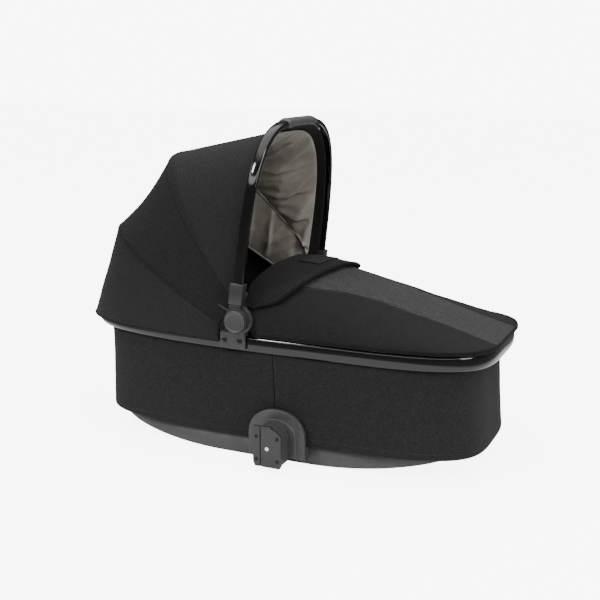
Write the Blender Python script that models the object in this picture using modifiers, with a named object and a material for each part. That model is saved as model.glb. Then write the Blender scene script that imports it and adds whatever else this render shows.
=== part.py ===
"""Carrycot with a folding hood, modelled at full size in metres.

+X points to the child's feet, +Y to the child's left and +Z up. The origin is on the floor,
in the flat face that the base tray rests on.
"""

import math

import bmesh
import bpy
from mathutils import Matrix, Vector

# Driving sizes of the tub
RIM_LENGTH = 0.820
RIM_WIDTH = 0.354
RIM_TUBE_HEIGHT = 0.030
RIM_TUBE_DEPTH = 0.020
RIM_UNDERSIDE = 0.205
TUB_UNDERSIDE = 0.040
WIDEST_X = 0.100
WIDEST_X_BELOW = 0.071
HEAD_POWER = 2.96
HEAD_POWER_BELOW = 4.46
FOOT_POWER = 3.94
FOOT_POWER_BELOW = 3.78

# Driving sizes of the handle bow and its hub
HUB_X = -0.027
HUB_Z = 0.265
BOW_ANGLE_DEGREES = 96.8
BOW_PROUD = 0.005
BOW_HALF_WIDTH = RIM_WIDTH / 2 + BOW_PROUD
BOW_REACH = 0.340
BOW_LEG = 0.024
BOW_POWER = 3.54
BOW_WIDTH = 0.020
BOW_THICKNESS = 0.012
BOW_SET_BACK = 0.006

# Driving sizes of the side fittings
FIXING_X = 0.042
FIXING_REACH = 0.0367

# Fits
SEAT_GAP = 0.0003
WELD = 0.00001
OVERRUN = 0.002
SIDE_PLATE_Y = RIM_WIDTH / 2 + SEAT_GAP
FIXING_FACE_Y = SIDE_PLATE_Y + FIXING_REACH
RIM_TOP = RIM_UNDERSIDE + RIM_TUBE_HEIGHT
SIDES = (("left", 1), ("right", -1))
PLAN_COUNT = 44


def new_collection(name):
    collection = bpy.data.collections.new(name)
    bpy.context.scene.collection.children.link(collection)
    return collection


for leftover in list(bpy.data.objects):
    bpy.data.objects.remove(leftover)
PARTS = new_collection("carrycot")
CUTTERS = new_collection("cutters")


def material(name, colour, roughness, metallic=0.0):
    made = bpy.data.materials.new(name)
    made.use_nodes = True
    shader = made.node_tree.nodes["Principled BSDF"]
    shader.inputs["Base Color"].default_value = (*colour, 1.0)
    shader.inputs["Roughness"].default_value = roughness
    shader.inputs["Metallic"].default_value = metallic
    return made


GLOSS_BLACK = material("gloss_black", (0.012, 0.012, 0.013), 0.12)
SATIN_GREY = material("satin_grey", (0.065, 0.065, 0.068), 0.42)
TRAY_GREY = material("tray_grey", (0.085, 0.085, 0.088), 0.50)
STEEL = material("steel", (0.55, 0.55, 0.56), 0.32, 1.0)
BODY_CLOTH = material("body_cloth", (0.028, 0.028, 0.029), 0.92)
HOOD_CLOTH = material("hood_cloth", (0.026, 0.026, 0.027), 0.88)
APRON_CLOTH = material("apron_cloth", (0.040, 0.040, 0.041), 0.92)
LINING_CLOTH = material("lining_cloth", (0.175, 0.155, 0.130), 0.75)
MATTRESS_CLOTH = material("mattress_cloth", (0.620, 0.620, 0.600), 0.90)
GRIP_LEATHER = material("grip_leather", (0.085, 0.082, 0.090), 0.50)
BOARD = material("board", (0.300, 0.240, 0.170), 0.70)


def add(name, data, finish, collection=PARTS):
    made = bpy.data.objects.new(name, data)
    collection.objects.link(made)
    if finish is not None:
        data.materials.append(finish)
    return made


def carry(children, pivot):
    """Parents pieces to an empty without moving them, so that they turn about it."""
    for child in children:
        child.parent = pivot
        child.matrix_parent_inverse = Matrix.Translation(-pivot.location)


def empty(name, place):
    made = bpy.data.objects.new(name, None)
    made.location = place
    PARTS.objects.link(made)
    return made


def smooth(mesh, angle_degrees=40.0):
    mesh.shade_smooth()
    mesh.set_sharp_from_angle(angle=math.radians(angle_degrees))


def mesh_from(name, bm, shade=True):
    mesh = bpy.data.meshes.new(name)
    bm.to_mesh(mesh)
    bm.free()
    if shade:
        smooth(mesh)
    return mesh


def block(name, low, high, finish=None, collection=PARTS, turn=Matrix.Identity(4)):
    """A rectangular solid between two corners, in the frame that turn gives."""
    size = Vector(high) - Vector(low)
    middle = (Vector(high) + Vector(low)) / 2
    bm = bmesh.new()
    bmesh.ops.create_cube(bm, size=1.0, matrix=Matrix.Translation(middle) @ Matrix.Diagonal((*size, 1)))
    made = add(name, mesh_from(name, bm, shade=False), finish, collection)
    made.matrix_world = turn
    return made


def disc(name, centre, radius, thickness, finish=None, collection=PARTS, turn=Matrix.Identity(4), sides=24):
    """A round solid with its axis along Y, centred on a point."""
    bm = bmesh.new()
    upright = Matrix.Translation(centre) @ Matrix.Rotation(math.radians(90), 4, "X")
    bmesh.ops.create_cone(
        bm, cap_ends=True, segments=sides, radius1=radius, radius2=radius, depth=thickness, matrix=upright
    )
    made = add(name, mesh_from(name, bm), finish, collection)
    made.matrix_world = turn
    return made


def as_cutter(tool):
    tool.hide_render = True
    tool.display_type = "WIRE"
    return tool


def combine(target, tool, operation):
    modifier = target.modifiers.new(f"{operation.lower()}_{tool.name}", "BOOLEAN")
    modifier.operation = operation
    modifier.object = as_cutter(tool)
    modifier.solver = "EXACT"
    return target


def bevelled(target, width, segments=2):
    modifier = target.modifiers.new("rounded_edges", "BEVEL")
    modifier.width = width
    modifier.segments = segments
    modifier.limit_method = "ANGLE"
    modifier.angle_limit = math.radians(50)
    return target


def thickened(target, thickness, outward=False):
    modifier = target.modifiers.new("wall", "SOLIDIFY")
    modifier.thickness = thickness
    modifier.offset = 1.0 if outward else -1.0
    modifier.use_even_offset = True
    return target


def turned(name, profile, place, finish, sign, steps=16):
    """A round piece on a Y axis. The profile is radius and height pairs, outermost end first."""
    mesh = bpy.data.meshes.new(name)
    mesh.from_pydata([(radius, 0.0, height) for radius, height in profile], [], [])
    bm = bmesh.new()
    bm.from_mesh(mesh)
    bm.verts.ensure_lookup_table()
    ends = len(bm.verts) - 1
    for i in range(ends):
        bm.edges.new((bm.verts[i], bm.verts[i + 1]))
    if profile[0][0] > 0:
        bm.edges.new((bm.verts[ends], bm.verts[0]))
    bm.to_mesh(mesh)
    bm.free()
    made = add(name, mesh, finish)
    screw = made.modifiers.new("turn", "SCREW")
    screw.steps = screw.render_steps = steps
    screw.use_merge_vertices = True
    screw.merge_threshold = WELD
    made.location = place
    made.rotation_euler = (math.radians(-90 * sign), 0.0, 0.0)
    return made


def as_mesh(source):
    """The same piece as a mesh object, for a rail that is cut or joined."""
    graph = bpy.context.evaluated_depsgraph_get()
    mesh = bpy.data.meshes.new_from_object(source.evaluated_get(graph))
    bm = bmesh.new()
    bm.from_mesh(mesh)
    bmesh.ops.remove_doubles(bm, verts=bm.verts, dist=WELD)
    bmesh.ops.recalc_face_normals(bm, faces=bm.faces)
    bm.to_mesh(mesh)
    bm.free()
    smooth(mesh)
    name, finish = source.name, source.data.materials[0]
    made = bpy.data.objects.new(name + "_mesh", mesh)
    PARTS.objects.link(made)
    made.matrix_world = source.matrix_world.copy()
    mesh.materials.clear()
    mesh.materials.append(finish)
    bpy.data.objects.remove(source)
    made.name = name
    return made


def power_point(angle, power):
    """Unit coordinates on a superellipse at a parameter angle."""
    c, s = math.cos(angle), math.sin(angle)
    return (
        math.copysign(abs(c) ** (2 / power), c),
        math.copysign(abs(s) ** (2 / power), s),
    )


def evenly(points, count, closed=False):
    """The same path with evenly spaced points."""
    path = [Vector(p) for p in points]
    if closed:
        path.append(path[0])
    along = [0.0]
    for before, after in zip(path, path[1:]):
        along.append(along[-1] + (after - before).length)
    steps = count if closed else count - 1
    result, segment = [], 0
    for i in range(count):
        target = along[-1] * i / steps
        while segment < len(path) - 2 and along[segment + 1] < target:
            segment += 1
        span = along[segment + 1] - along[segment]
        share = (target - along[segment]) / span if span > 0 else 0.0
        result.append(path[segment].lerp(path[segment + 1], share))
    return result


def blend(first, last, share):
    return first + (last - first) * share


def end_shape(end, inset, depth_share):
    """Where the tub is widest, its plan's reach from there to one end, and how square that end is."""
    widest = blend(WIDEST_X, WIDEST_X_BELOW, depth_share)
    reach = RIM_LENGTH / 2 - inset - end * widest
    if end > 0:
        return widest, reach, blend(FOOT_POWER, FOOT_POWER_BELOW, depth_share)
    return widest, reach, blend(HEAD_POWER, HEAD_POWER_BELOW, depth_share)


def plan_half_width(x, side_inset, end_inset):
    """Half the width of the tub's plan at x, in the plane of the rim."""
    widest, reach, power = end_shape(1 if x > WIDEST_X else -1, end_inset, 0.0)
    gone = min(1.0, abs(x - widest) / reach)
    return (RIM_WIDTH / 2 - side_inset) * (1 - gone**power) ** (1 / power)


def plan_end_x(end, y, side_inset, end_inset):
    """Where the tub's plan at the rim crosses a line along X, at one end."""
    widest, reach, power = end_shape(end, end_inset, 0.0)
    return widest + end * reach * (1 - (y / (RIM_WIDTH / 2 - side_inset)) ** power) ** (1 / power)


def plan(side_inset, head_inset, foot_inset, z, depth_share=0.0, count=PLAN_COUNT):
    """Points round the tub at height z, anticlockwise from the middle of the foot end."""
    half_width = RIM_WIDTH / 2 - side_inset
    fine = []
    for i in range(PLAN_COUNT * 20):
        angle = 2 * math.pi * i / (PLAN_COUNT * 20)
        end, inset = (1, foot_inset) if math.cos(angle) > 0 else (-1, head_inset)
        widest, reach, power = end_shape(end, inset, depth_share)
        c, s = power_point(angle, power)
        fine.append((widest + reach * c, half_width * s, z))
    return evenly(fine, count, closed=True)


def loft(name, rows, finish, wrap=False, fill_last=False, fill_first=False, centre=None):
    """A surface through rows of points, facing away from centre."""
    bm = bmesh.new()
    grid = [[bm.verts.new(p) for p in row] for row in rows]
    for lower, upper in zip(grid, grid[1:]):
        for i in range(len(lower) if wrap else len(lower) - 1):
            j = (i + 1) % len(lower)
            bm.faces.new((lower[i], lower[j], upper[j], upper[i]))
    if fill_first:
        bm.faces.new(grid[0])
    if fill_last:
        bm.faces.new(grid[-1])
    bmesh.ops.remove_doubles(bm, verts=bm.verts, dist=WELD)
    bmesh.ops.recalc_face_normals(bm, faces=bm.faces)
    middle = Vector(centre) if centre else sum((v.co for v in bm.verts), Vector()) / len(bm.verts)
    outward = sum(f.normal.dot(f.calc_center_median() - middle) * f.calc_area() for f in bm.faces)
    if outward < 0:
        bmesh.ops.reverse_faces(bm, faces=bm.faces)
    return add(name, mesh_from(name, bm), finish)


def section(name, width, height, power, count):
    """A closed curve that a rail is swept from."""
    curve = bpy.data.curves.new(name, "CURVE")
    curve.dimensions = "2D"
    spline = curve.splines.new("POLY")
    spline.points.add(count - 1)
    for i in range(count):
        c, s = power_point(-2 * math.pi * i / count, power)
        spline.points[i].co = (width / 2 * c, height / 2 * s, 0.0, 1.0)
    spline.use_cyclic_u = True
    return as_cutter(add(name, curve, None, CUTTERS))


def rail(name, points, profile, finish, frame, closed=False, capped=True):
    """A bar of one section along a flat path, in the plane that frame gives."""
    curve = bpy.data.curves.new(name, "CURVE")
    curve.dimensions = "2D"
    curve.fill_mode = "NONE"
    spline = curve.splines.new("POLY")
    spline.points.add(len(points) - 1)
    for spot, point in zip(spline.points, points):
        spot.co = (point[0], point[1], 0.0, 1.0)
    spline.use_cyclic_u = closed
    curve.bevel_mode = "OBJECT"
    curve.bevel_object = profile
    curve.use_fill_caps = capped
    made = add(name, curve, finish)
    made.matrix_world = frame
    return made


def hood_frame(angle_degrees, offset=0.0, x=HUB_X, z=HUB_Z):
    """The plane through a hub axis at an angle above the head end: across, up the arch, and square to it."""
    angle = math.radians(angle_degrees)
    across = Vector((0, 1, 0))
    rise = Vector((-math.cos(angle), 0, math.sin(angle)))
    square = across.cross(rise)
    frame = Matrix((across, rise, square)).transposed().to_4x4()
    frame.translation = Vector((x, 0, z)) + square * offset
    return frame


def arch(half_width, reach, power, start, count, leg=0.0):
    """A flat arch from right to left, as across and height pairs, that starts at a height above the hub."""
    if start > leg:
        foot = half_width * (1 - ((start - leg) / (reach - leg)) ** power) ** (1 / power)
    else:
        foot = half_width
    points = [(-foot, start, 0.0)]
    for i in range(1, 400):
        c, s = power_point(math.pi * i / 400, power)
        height = leg + (reach - leg) * s
        if height > start:
            points.append((-half_width * c, height, 0.0))
    points.append((foot, start, 0.0))
    return evenly(points, count)


def placed(points, frame):
    return [frame @ Vector(p) for p in points]


def make_rim():
    """The gloss rail that everything hangs from."""
    profile = section("rim_section", RIM_TUBE_DEPTH, RIM_TUBE_HEIGHT, power=3.2, count=12)
    path = plan(RIM_TUBE_DEPTH / 2, RIM_TUBE_DEPTH / 2, RIM_TUBE_DEPTH / 2, 0.0)
    frame = Matrix.Translation((0, 0, RIM_UNDERSIDE + RIM_TUBE_HEIGHT / 2))
    return as_mesh(rail("rim_rail", path, profile, GLOSS_BLACK, frame, closed=True))


# The padded cloth tub under the rim
COVER_SIDE_INSET = 0.0040
COVER_HEAD_INSET = 0.0373
COVER_FOOT_INSET = 0.0250
COVER_LOW_SIDE_INSET = 0.0140
COVER_LOW_HEAD_INSET = 0.0454
COVER_LOW_FOOT_INSET = 0.0136
COVER_TOP_SHARE = 0.3
COVER_THICKNESS = 0.0040
COVER_WAIST = 0.0015
COVER_HEM_RADIUS = 0.005
COVER_TOP = RIM_UNDERSIDE - 3 * SEAT_GAP


def make_body_cover():
    rows = []
    for step in range(5):
        share = step / 4
        waist = COVER_WAIST * math.sin(math.pi * share)
        rows.append(plan(
            blend(COVER_SIDE_INSET, COVER_LOW_SIDE_INSET, share) + waist,
            blend(COVER_HEAD_INSET, COVER_LOW_HEAD_INSET, share) + waist,
            blend(COVER_FOOT_INSET, COVER_LOW_FOOT_INSET, share) + waist,
            blend(COVER_TOP, TUB_UNDERSIDE + COVER_HEM_RADIUS, share),
            blend(COVER_TOP_SHARE, 1.0, share),
        ))
    turned_in = [
        inset + COVER_HEM_RADIUS
        for inset in (COVER_LOW_SIDE_INSET, COVER_LOW_HEAD_INSET, COVER_LOW_FOOT_INSET)
    ]
    rows.append(plan(*turned_in, TUB_UNDERSIDE, 1.0))
    cover = loft("body_cover", rows, BODY_CLOTH, wrap=True, fill_last=True)
    return thickened(cover, COVER_THICKNESS)


# The board that stiffens the floor of the tub
BOARD_THICKNESS = 0.006
BOARD_EDGE_GAP = 0.0025
BOARD_UNDERSIDE = TUB_UNDERSIDE + COVER_THICKNESS + SEAT_GAP
BOARD_TOP = BOARD_UNDERSIDE + BOARD_THICKNESS
BOARD_SET_IN = COVER_THICKNESS + COVER_HEM_RADIUS + BOARD_EDGE_GAP
BOARD_INSETS = (
    COVER_LOW_SIDE_INSET + BOARD_SET_IN,
    COVER_LOW_HEAD_INSET + BOARD_SET_IN,
    COVER_LOW_FOOT_INSET + BOARD_SET_IN,
)


def make_base_board():
    rows = [plan(*BOARD_INSETS, z, 1.0) for z in (BOARD_UNDERSIDE, BOARD_TOP)]
    return loft("base_board", rows, BOARD, wrap=True, fill_last=True, fill_first=True)


# The cloth liner, and the mattress that lies in it
LINER_THICKNESS = 0.0025
LINER_TOP_INSET = RIM_TUBE_DEPTH + SEAT_GAP
LINER_BELOW_RIM = 0.001
LINER_TOP = RIM_TOP - LINER_BELOW_RIM
LINER_UNDERSIDE = BOARD_TOP + SEAT_GAP
LINER_CORNER = 0.010
LINER_SHOULDER_DROP = 0.027
LINER_SHOULDER_SHARE = 0.16
LINER_SHOULDER_HEAD_INSET = 0.0545
LINER_SHOULDER_FOOT_INSET = 0.0430
LINER_LOW_SIDE_INSET = 0.0262
LINER_LOW_HEAD_INSET = 0.0700
LINER_LOW_FOOT_INSET = 0.0380
MATTRESS_THICKNESS = 0.030
MATTRESS_EDGE_GAP = 0.0020
MATTRESS_CROWN_SHARES = (0.35, 0.75)
MATTRESS_CROWN = 0.004
MATTRESS_SIDE_BULGE = 0.0015
MATTRESS_CORNER = 0.007
MATTRESS_UNDERSIDE = LINER_UNDERSIDE + LINER_THICKNESS + SEAT_GAP


def make_liner():
    """Flares out at the top to meet the rim, and narrows between the end stays."""
    top = (LINER_TOP_INSET, LINER_TOP_INSET, LINER_TOP_INSET)
    low = (LINER_LOW_SIDE_INSET, LINER_LOW_HEAD_INSET, LINER_LOW_FOOT_INSET)
    shoulder = (
        blend(LINER_TOP_INSET, LINER_LOW_SIDE_INSET, LINER_SHOULDER_SHARE),
        LINER_SHOULDER_HEAD_INSET,
        LINER_SHOULDER_FOOT_INSET,
    )
    floor = [inset + LINER_CORNER for inset in low]
    rows = [
        plan(*top, LINER_TOP, 0.0),
        plan(*shoulder, LINER_TOP - LINER_SHOULDER_DROP, LINER_SHOULDER_SHARE),
        plan(*low, LINER_UNDERSIDE + LINER_CORNER, 1.0),
        plan(*floor, LINER_UNDERSIDE, 1.0),
    ]
    liner = loft("body_liner", rows, LINING_CLOTH, wrap=True, fill_last=True)
    return thickened(liner, LINER_THICKNESS)


def make_mattress():
    """A flat-bottomed pad with rolled edges, sides that swell a little, and a low crown."""
    around = LINER_CORNER + LINER_THICKNESS + MATTRESS_EDGE_GAP + MATTRESS_SIDE_BULGE
    insets = [
        inset + around for inset in (LINER_LOW_SIDE_INSET, LINER_LOW_HEAD_INSET, LINER_LOW_FOOT_INSET)
    ]
    low, edge_top = MATTRESS_UNDERSIDE, MATTRESS_UNDERSIDE + MATTRESS_THICKNESS - MATTRESS_CROWN
    levels = [
        (MATTRESS_CORNER, low),
        (0.0, low + MATTRESS_CORNER),
        (-MATTRESS_SIDE_BULGE, (low + edge_top) / 2),
        (0.0, edge_top - MATTRESS_CORNER),
        (MATTRESS_CORNER, edge_top),
    ]
    crown_reach = RIM_WIDTH / 2 - insets[0] - MATTRESS_CORNER
    for share in MATTRESS_CROWN_SHARES:
        rise = MATTRESS_CROWN * math.sin(math.pi / 2 * share)
        levels.append((MATTRESS_CORNER + crown_reach * share, edge_top + rise))
    rows = [plan(*[inset + more for inset in insets], z, 1.0) for more, z in levels]
    return loft("mattress", rows, MATTRESS_CLOTH, wrap=True, fill_last=True, fill_first=True)


# The rocker-bottomed tray that the tub stands on
TRAY_CENTRE_X = 0.002
TRAY_HALF_LENGTH = 0.362
TRAY_SIDE_INSET = 0.0264
TRAY_HALF_WIDTH = RIM_WIDTH / 2 - TRAY_SIDE_INSET
TRAY_POWER = 3.05
TRAY_FLAT_HALF = 0.095
TRAY_TOP = TUB_UNDERSIDE - SEAT_GAP
TRAY_LIP = 0.0004
TRAY_END_DROP = 0.0050
TRAY_WALL = 0.003
TRAY_EDGE_ROUND = 0.005
TRAY_ROCKER_POWER = 1.84


def tray_floor(x):
    """Height of the tray's underside: flat in the middle and curving up to both ends."""
    past = max(0.0, abs(x - TRAY_CENTRE_X) - TRAY_FLAT_HALF) / (TRAY_HALF_LENGTH - TRAY_FLAT_HALF)
    return (TRAY_TOP - TRAY_END_DROP) * past**TRAY_ROCKER_POWER


def tray_ring(inset, lift, count=PLAN_COUNT):
    fine = []
    for i in range(count * 20):
        c, s = power_point(2 * math.pi * i / (count * 20), TRAY_POWER)
        x = TRAY_CENTRE_X + (TRAY_HALF_LENGTH - inset) * c
        fine.append((x, (TRAY_HALF_WIDTH - inset) * s, 0.0))
    ring = evenly(fine, count, closed=True)
    for point in ring:
        if lift is None:
            point.z = TRAY_TOP
        else:
            point.z = min(TRAY_TOP - TRAY_WALL - TRAY_LIP, tray_floor(point.x) + lift)
    return ring


def make_base_tray():
    rings = [tray_ring(0.0, None), tray_ring(0.0, TRAY_EDGE_ROUND), tray_ring(TRAY_EDGE_ROUND, 0.0)]
    bm = bmesh.new()
    grid = [[bm.verts.new(p) for p in ring] for ring in rings]
    for upper, lower in zip(grid, grid[1:]):
        for i in range(PLAN_COUNT):
            j = (i + 1) % PLAN_COUNT
            bm.faces.new((upper[i], lower[i], lower[j], upper[j]))
    bottom = grid[-1]
    for i in range(PLAN_COUNT // 2):
        near, far = bottom[i], bottom[i + 1]
        across_near, across_far = bottom[-i % PLAN_COUNT], bottom[-(i + 1) % PLAN_COUNT]
        corners = list(dict.fromkeys((near, far, across_far, across_near)))
        bm.faces.new(corners)
    bmesh.ops.recalc_face_normals(bm, faces=bm.faces)
    down = sum(f.normal.z * f.calc_area() for f in bm.faces)
    if down > 0:
        bmesh.ops.reverse_faces(bm, faces=bm.faces)
    tray = add("base_tray", mesh_from("base_tray", bm), TRAY_GREY)
    return thickened(tray, TRAY_WALL)


# The posts and wire stays that hold the rim above the board, hidden between cover and liner
POST_WIDTH = 0.030
POST_THICKNESS = 0.005
POST_FOOT_INSET = 0.0225
POST_HEAD_INSET = 0.0130
POST_FOOT_Y = RIM_WIDTH / 2 - POST_FOOT_INSET
POST_HEAD_Y = RIM_WIDTH / 2 - POST_HEAD_INSET
POST_END_GAP = 0.0004
STAY_RADIUS = 0.003
STAY_HALF_WIDTH = 0.045
STAY_CORNER = 0.014
STAY_CLEARANCE = 0.0045
STAY_TOP_DROP = 0.013


def make_side_post(side, sign):
    height = RIM_UNDERSIDE - BOARD_TOP - 2 * POST_END_GAP
    lean = math.atan2(POST_HEAD_Y - POST_FOOT_Y, height)
    foot = BOARD_TOP + POST_END_GAP + math.sin(lean) * POST_THICKNESS / 2
    length = (height - math.sin(lean) * POST_THICKNESS) / math.cos(lean)
    turn = Matrix.Translation((FIXING_X, sign * POST_FOOT_Y, foot)) @ Matrix.Rotation(-sign * lean, 4, "X")
    low = (-POST_WIDTH / 2, -POST_THICKNESS / 2, 0.0)
    high = (POST_WIDTH / 2, POST_THICKNESS / 2, length)
    return block(f"side_post_{side}", low, high, STEEL, turn=turn)


def make_end_stay(name, end, board_inset, cover_inset):
    """A bent steel wire that stands on the board and bears on the inside of the rim at one end."""
    set_in = STAY_RADIUS + STAY_CLEARANCE
    foot = Vector((end * (RIM_LENGTH / 2 - board_inset - set_in), 0.0, BOARD_TOP + SEAT_GAP))
    knee_inset = cover_inset + COVER_THICKNESS + set_in
    knee = Vector((end * (RIM_LENGTH / 2 - knee_inset), 0.0, RIM_UNDERSIDE))
    inner_rim_x = plan_end_x(end, STAY_HALF_WIDTH, RIM_TUBE_DEPTH, RIM_TUBE_DEPTH)
    top = Vector((inner_rim_x - end * (STAY_RADIUS + SEAT_GAP), 0.0, RIM_TOP - STAY_TOP_DROP))
    out = Vector((0.0, STAY_HALF_WIDTH, 0.0))
    rise = (top - knee).normalized()
    side = [foot + out, knee + out]
    for i in range(5):
        angle = math.pi / 2 * i / 4
        inward, drop = STAY_CORNER * (1 - math.cos(angle)), STAY_CORNER * (1 - math.sin(angle))
        side.append(top + out - Vector((0.0, inward, 0.0)) - rise * drop)
    path = side + [Vector((p.x, -p.y, p.z)) for p in reversed(side)]
    curve = bpy.data.curves.new(name, "CURVE")
    curve.dimensions = "3D"
    spline = curve.splines.new("POLY")
    spline.points.add(len(path) - 1)
    for spot, point in zip(spline.points, path):
        spot.co = (*point, 1.0)
    curve.bevel_depth = STAY_RADIUS
    curve.bevel_resolution = 2
    curve.use_fill_caps = True
    return add(name, curve, STEEL)


# The D-shaped side plates, and the fittings on them that lock to a pushchair frame
SIDE_PLATE_HALF_WIDTH = 0.0555
SIDE_PLATE_LOW = 0.017
SIDE_PLATE_HIGH = 0.105
SIDE_PLATE_SHOULDER = 0.055
SIDE_PLATE_STEP = 0.002
SIDE_PLATE_BORDER = 0.018
SIDE_PLATE_POWER = 2.2
ADAPTER_HALF_WIDTH = 0.0275
ADAPTER_LOW = 0.0105
ADAPTER_HIGH = 0.0860
ADAPTER_PLATE_THICKNESS = 0.0050
ADAPTER_BOSS_HALF_WIDTH = 0.0255
ADAPTER_BOSS_LOW = 0.0155
ADAPTER_BOSS_SHOULDER = 0.0560
ADAPTER_BOSS_HIGH = 0.0880
ADAPTER_OUTLINE_SHARES = (
    (1.0, 0.79), (0.75, 0.875), (0.51, 0.93), (0.29, 0.955), (0.29, 1.0), (-0.93, 1.0),
    (-1.0, 0.98), (-1.0, 0.12), (-0.86, 0.0), (0.88, 0.0), (1.0, 0.08),
)
ADAPTER_GROOVE_X = 0.0125
ADAPTER_GROOVE = 0.0022
ADAPTER_SCREW_X = 0.0205
ADAPTER_SCREW_LOW = 0.0240
ADAPTER_SCREW_HIGH = 0.0660
SCREW_HEAD_RADIUS = 0.0033
SCREW_HEAD_HEIGHT = 0.0018
SCREW_RADIUS = 0.0016
SCREW_LENGTH = 0.0120
SCREW_SOCKET_RADIUS = 0.0015
SCREW_SOCKET_DEPTH = 0.0010
LOCK_PIN_RADIUS = 0.0035
LOCK_PIN_Z = 0.0450
LOCK_PIN_PROUD = 0.0012
LOCK_PIN_ROUND = 0.0008
HOLE_GAP = 0.0003


def d_outline(half_width, low, shoulder, high):
    """A flat foot, upright sides and a rounded top, as x and z pairs."""
    points = [(half_width, low)]
    for i in range(17):
        c, s = power_point(math.pi * i / 16, SIDE_PLATE_POWER)
        points.append((half_width * c, shoulder + (high - shoulder) * abs(s)))
    points.append((-half_width, low))
    return points


def upright_prism(name, outline, inner_y, outer_y, sign, finish=None, collection=PARTS):
    """A flat outline standing in the XZ plane, as thick as from inner_y to outer_y on one side."""
    curve = bpy.data.curves.new(name, "CURVE")
    curve.dimensions = "2D"
    curve.fill_mode = "BOTH"
    curve.extrude = (outer_y - inner_y) / 2
    spline = curve.splines.new("POLY")
    spline.points.add(len(outline) - 1)
    for spot, (x, z) in zip(spline.points, outline):
        spot.co = (x, z, 0.0, 1.0)
    spline.use_cyclic_u = True
    flat = add(name, curve, SATIN_GREY)
    flat.location = (FIXING_X, sign * (inner_y + outer_y) / 2, 0.0)
    flat.rotation_euler = (math.radians(90), 0.0, 0.0)
    bpy.context.view_layer.update()
    made = as_mesh(flat)
    if collection is not PARTS:
        PARTS.objects.unlink(made)
        collection.objects.link(made)
    made.data.materials[0] = finish or SATIN_GREY
    return made


def make_side_plate(side, sign):
    cover_share = (COVER_TOP - SIDE_PLATE_HIGH) / (COVER_TOP - TUB_UNDERSIDE)
    back = RIM_WIDTH / 2 - blend(COVER_SIDE_INSET, COVER_LOW_SIDE_INSET, cover_share) + SEAT_GAP
    face = SIDE_PLATE_Y - SIDE_PLATE_STEP
    outline = d_outline(SIDE_PLATE_HALF_WIDTH, SIDE_PLATE_LOW, SIDE_PLATE_SHOULDER, SIDE_PLATE_HIGH)
    plate = upright_prism(f"side_plate_{side}", outline, back, face, sign, SATIN_GREY)
    inner = d_outline(
        SIDE_PLATE_HALF_WIDTH - SIDE_PLATE_BORDER, SIDE_PLATE_LOW + SIDE_PLATE_STEP,
        SIDE_PLATE_SHOULDER, SIDE_PLATE_HIGH - SIDE_PLATE_BORDER,
    )
    raised = upright_prism(
        f"raised_face_{side}", inner, back + SIDE_PLATE_STEP, SIDE_PLATE_Y, sign, SATIN_GREY, CUTTERS,
    )
    tray_y, foot_y = sorted((sign * (TRAY_HALF_WIDTH + SEAT_GAP), sign * (face - SIDE_PLATE_STEP)))
    low = (FIXING_X - SIDE_PLATE_HALF_WIDTH, tray_y, SIDE_PLATE_LOW + SIDE_PLATE_STEP)
    high = (FIXING_X + SIDE_PLATE_HALF_WIDTH, foot_y, TUB_UNDERSIDE - SEAT_GAP)
    foot = block(f"side_plate_foot_{side}", low, high, collection=CUTTERS)
    combine(plate, raised, "UNION")
    return combine(plate, foot, "UNION")


def y_box(x_low, x_high, y_near, y_far, z_low, z_high, sign):
    near, far = sorted((sign * y_near, sign * y_far))
    return (x_low, near, z_low), (x_high, far, z_high)


def adapter_screw_spots():
    heights = (ADAPTER_SCREW_LOW, ADAPTER_SCREW_HIGH)
    return [(x, z) for x in (-ADAPTER_SCREW_X, ADAPTER_SCREW_X) for z in heights]


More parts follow.
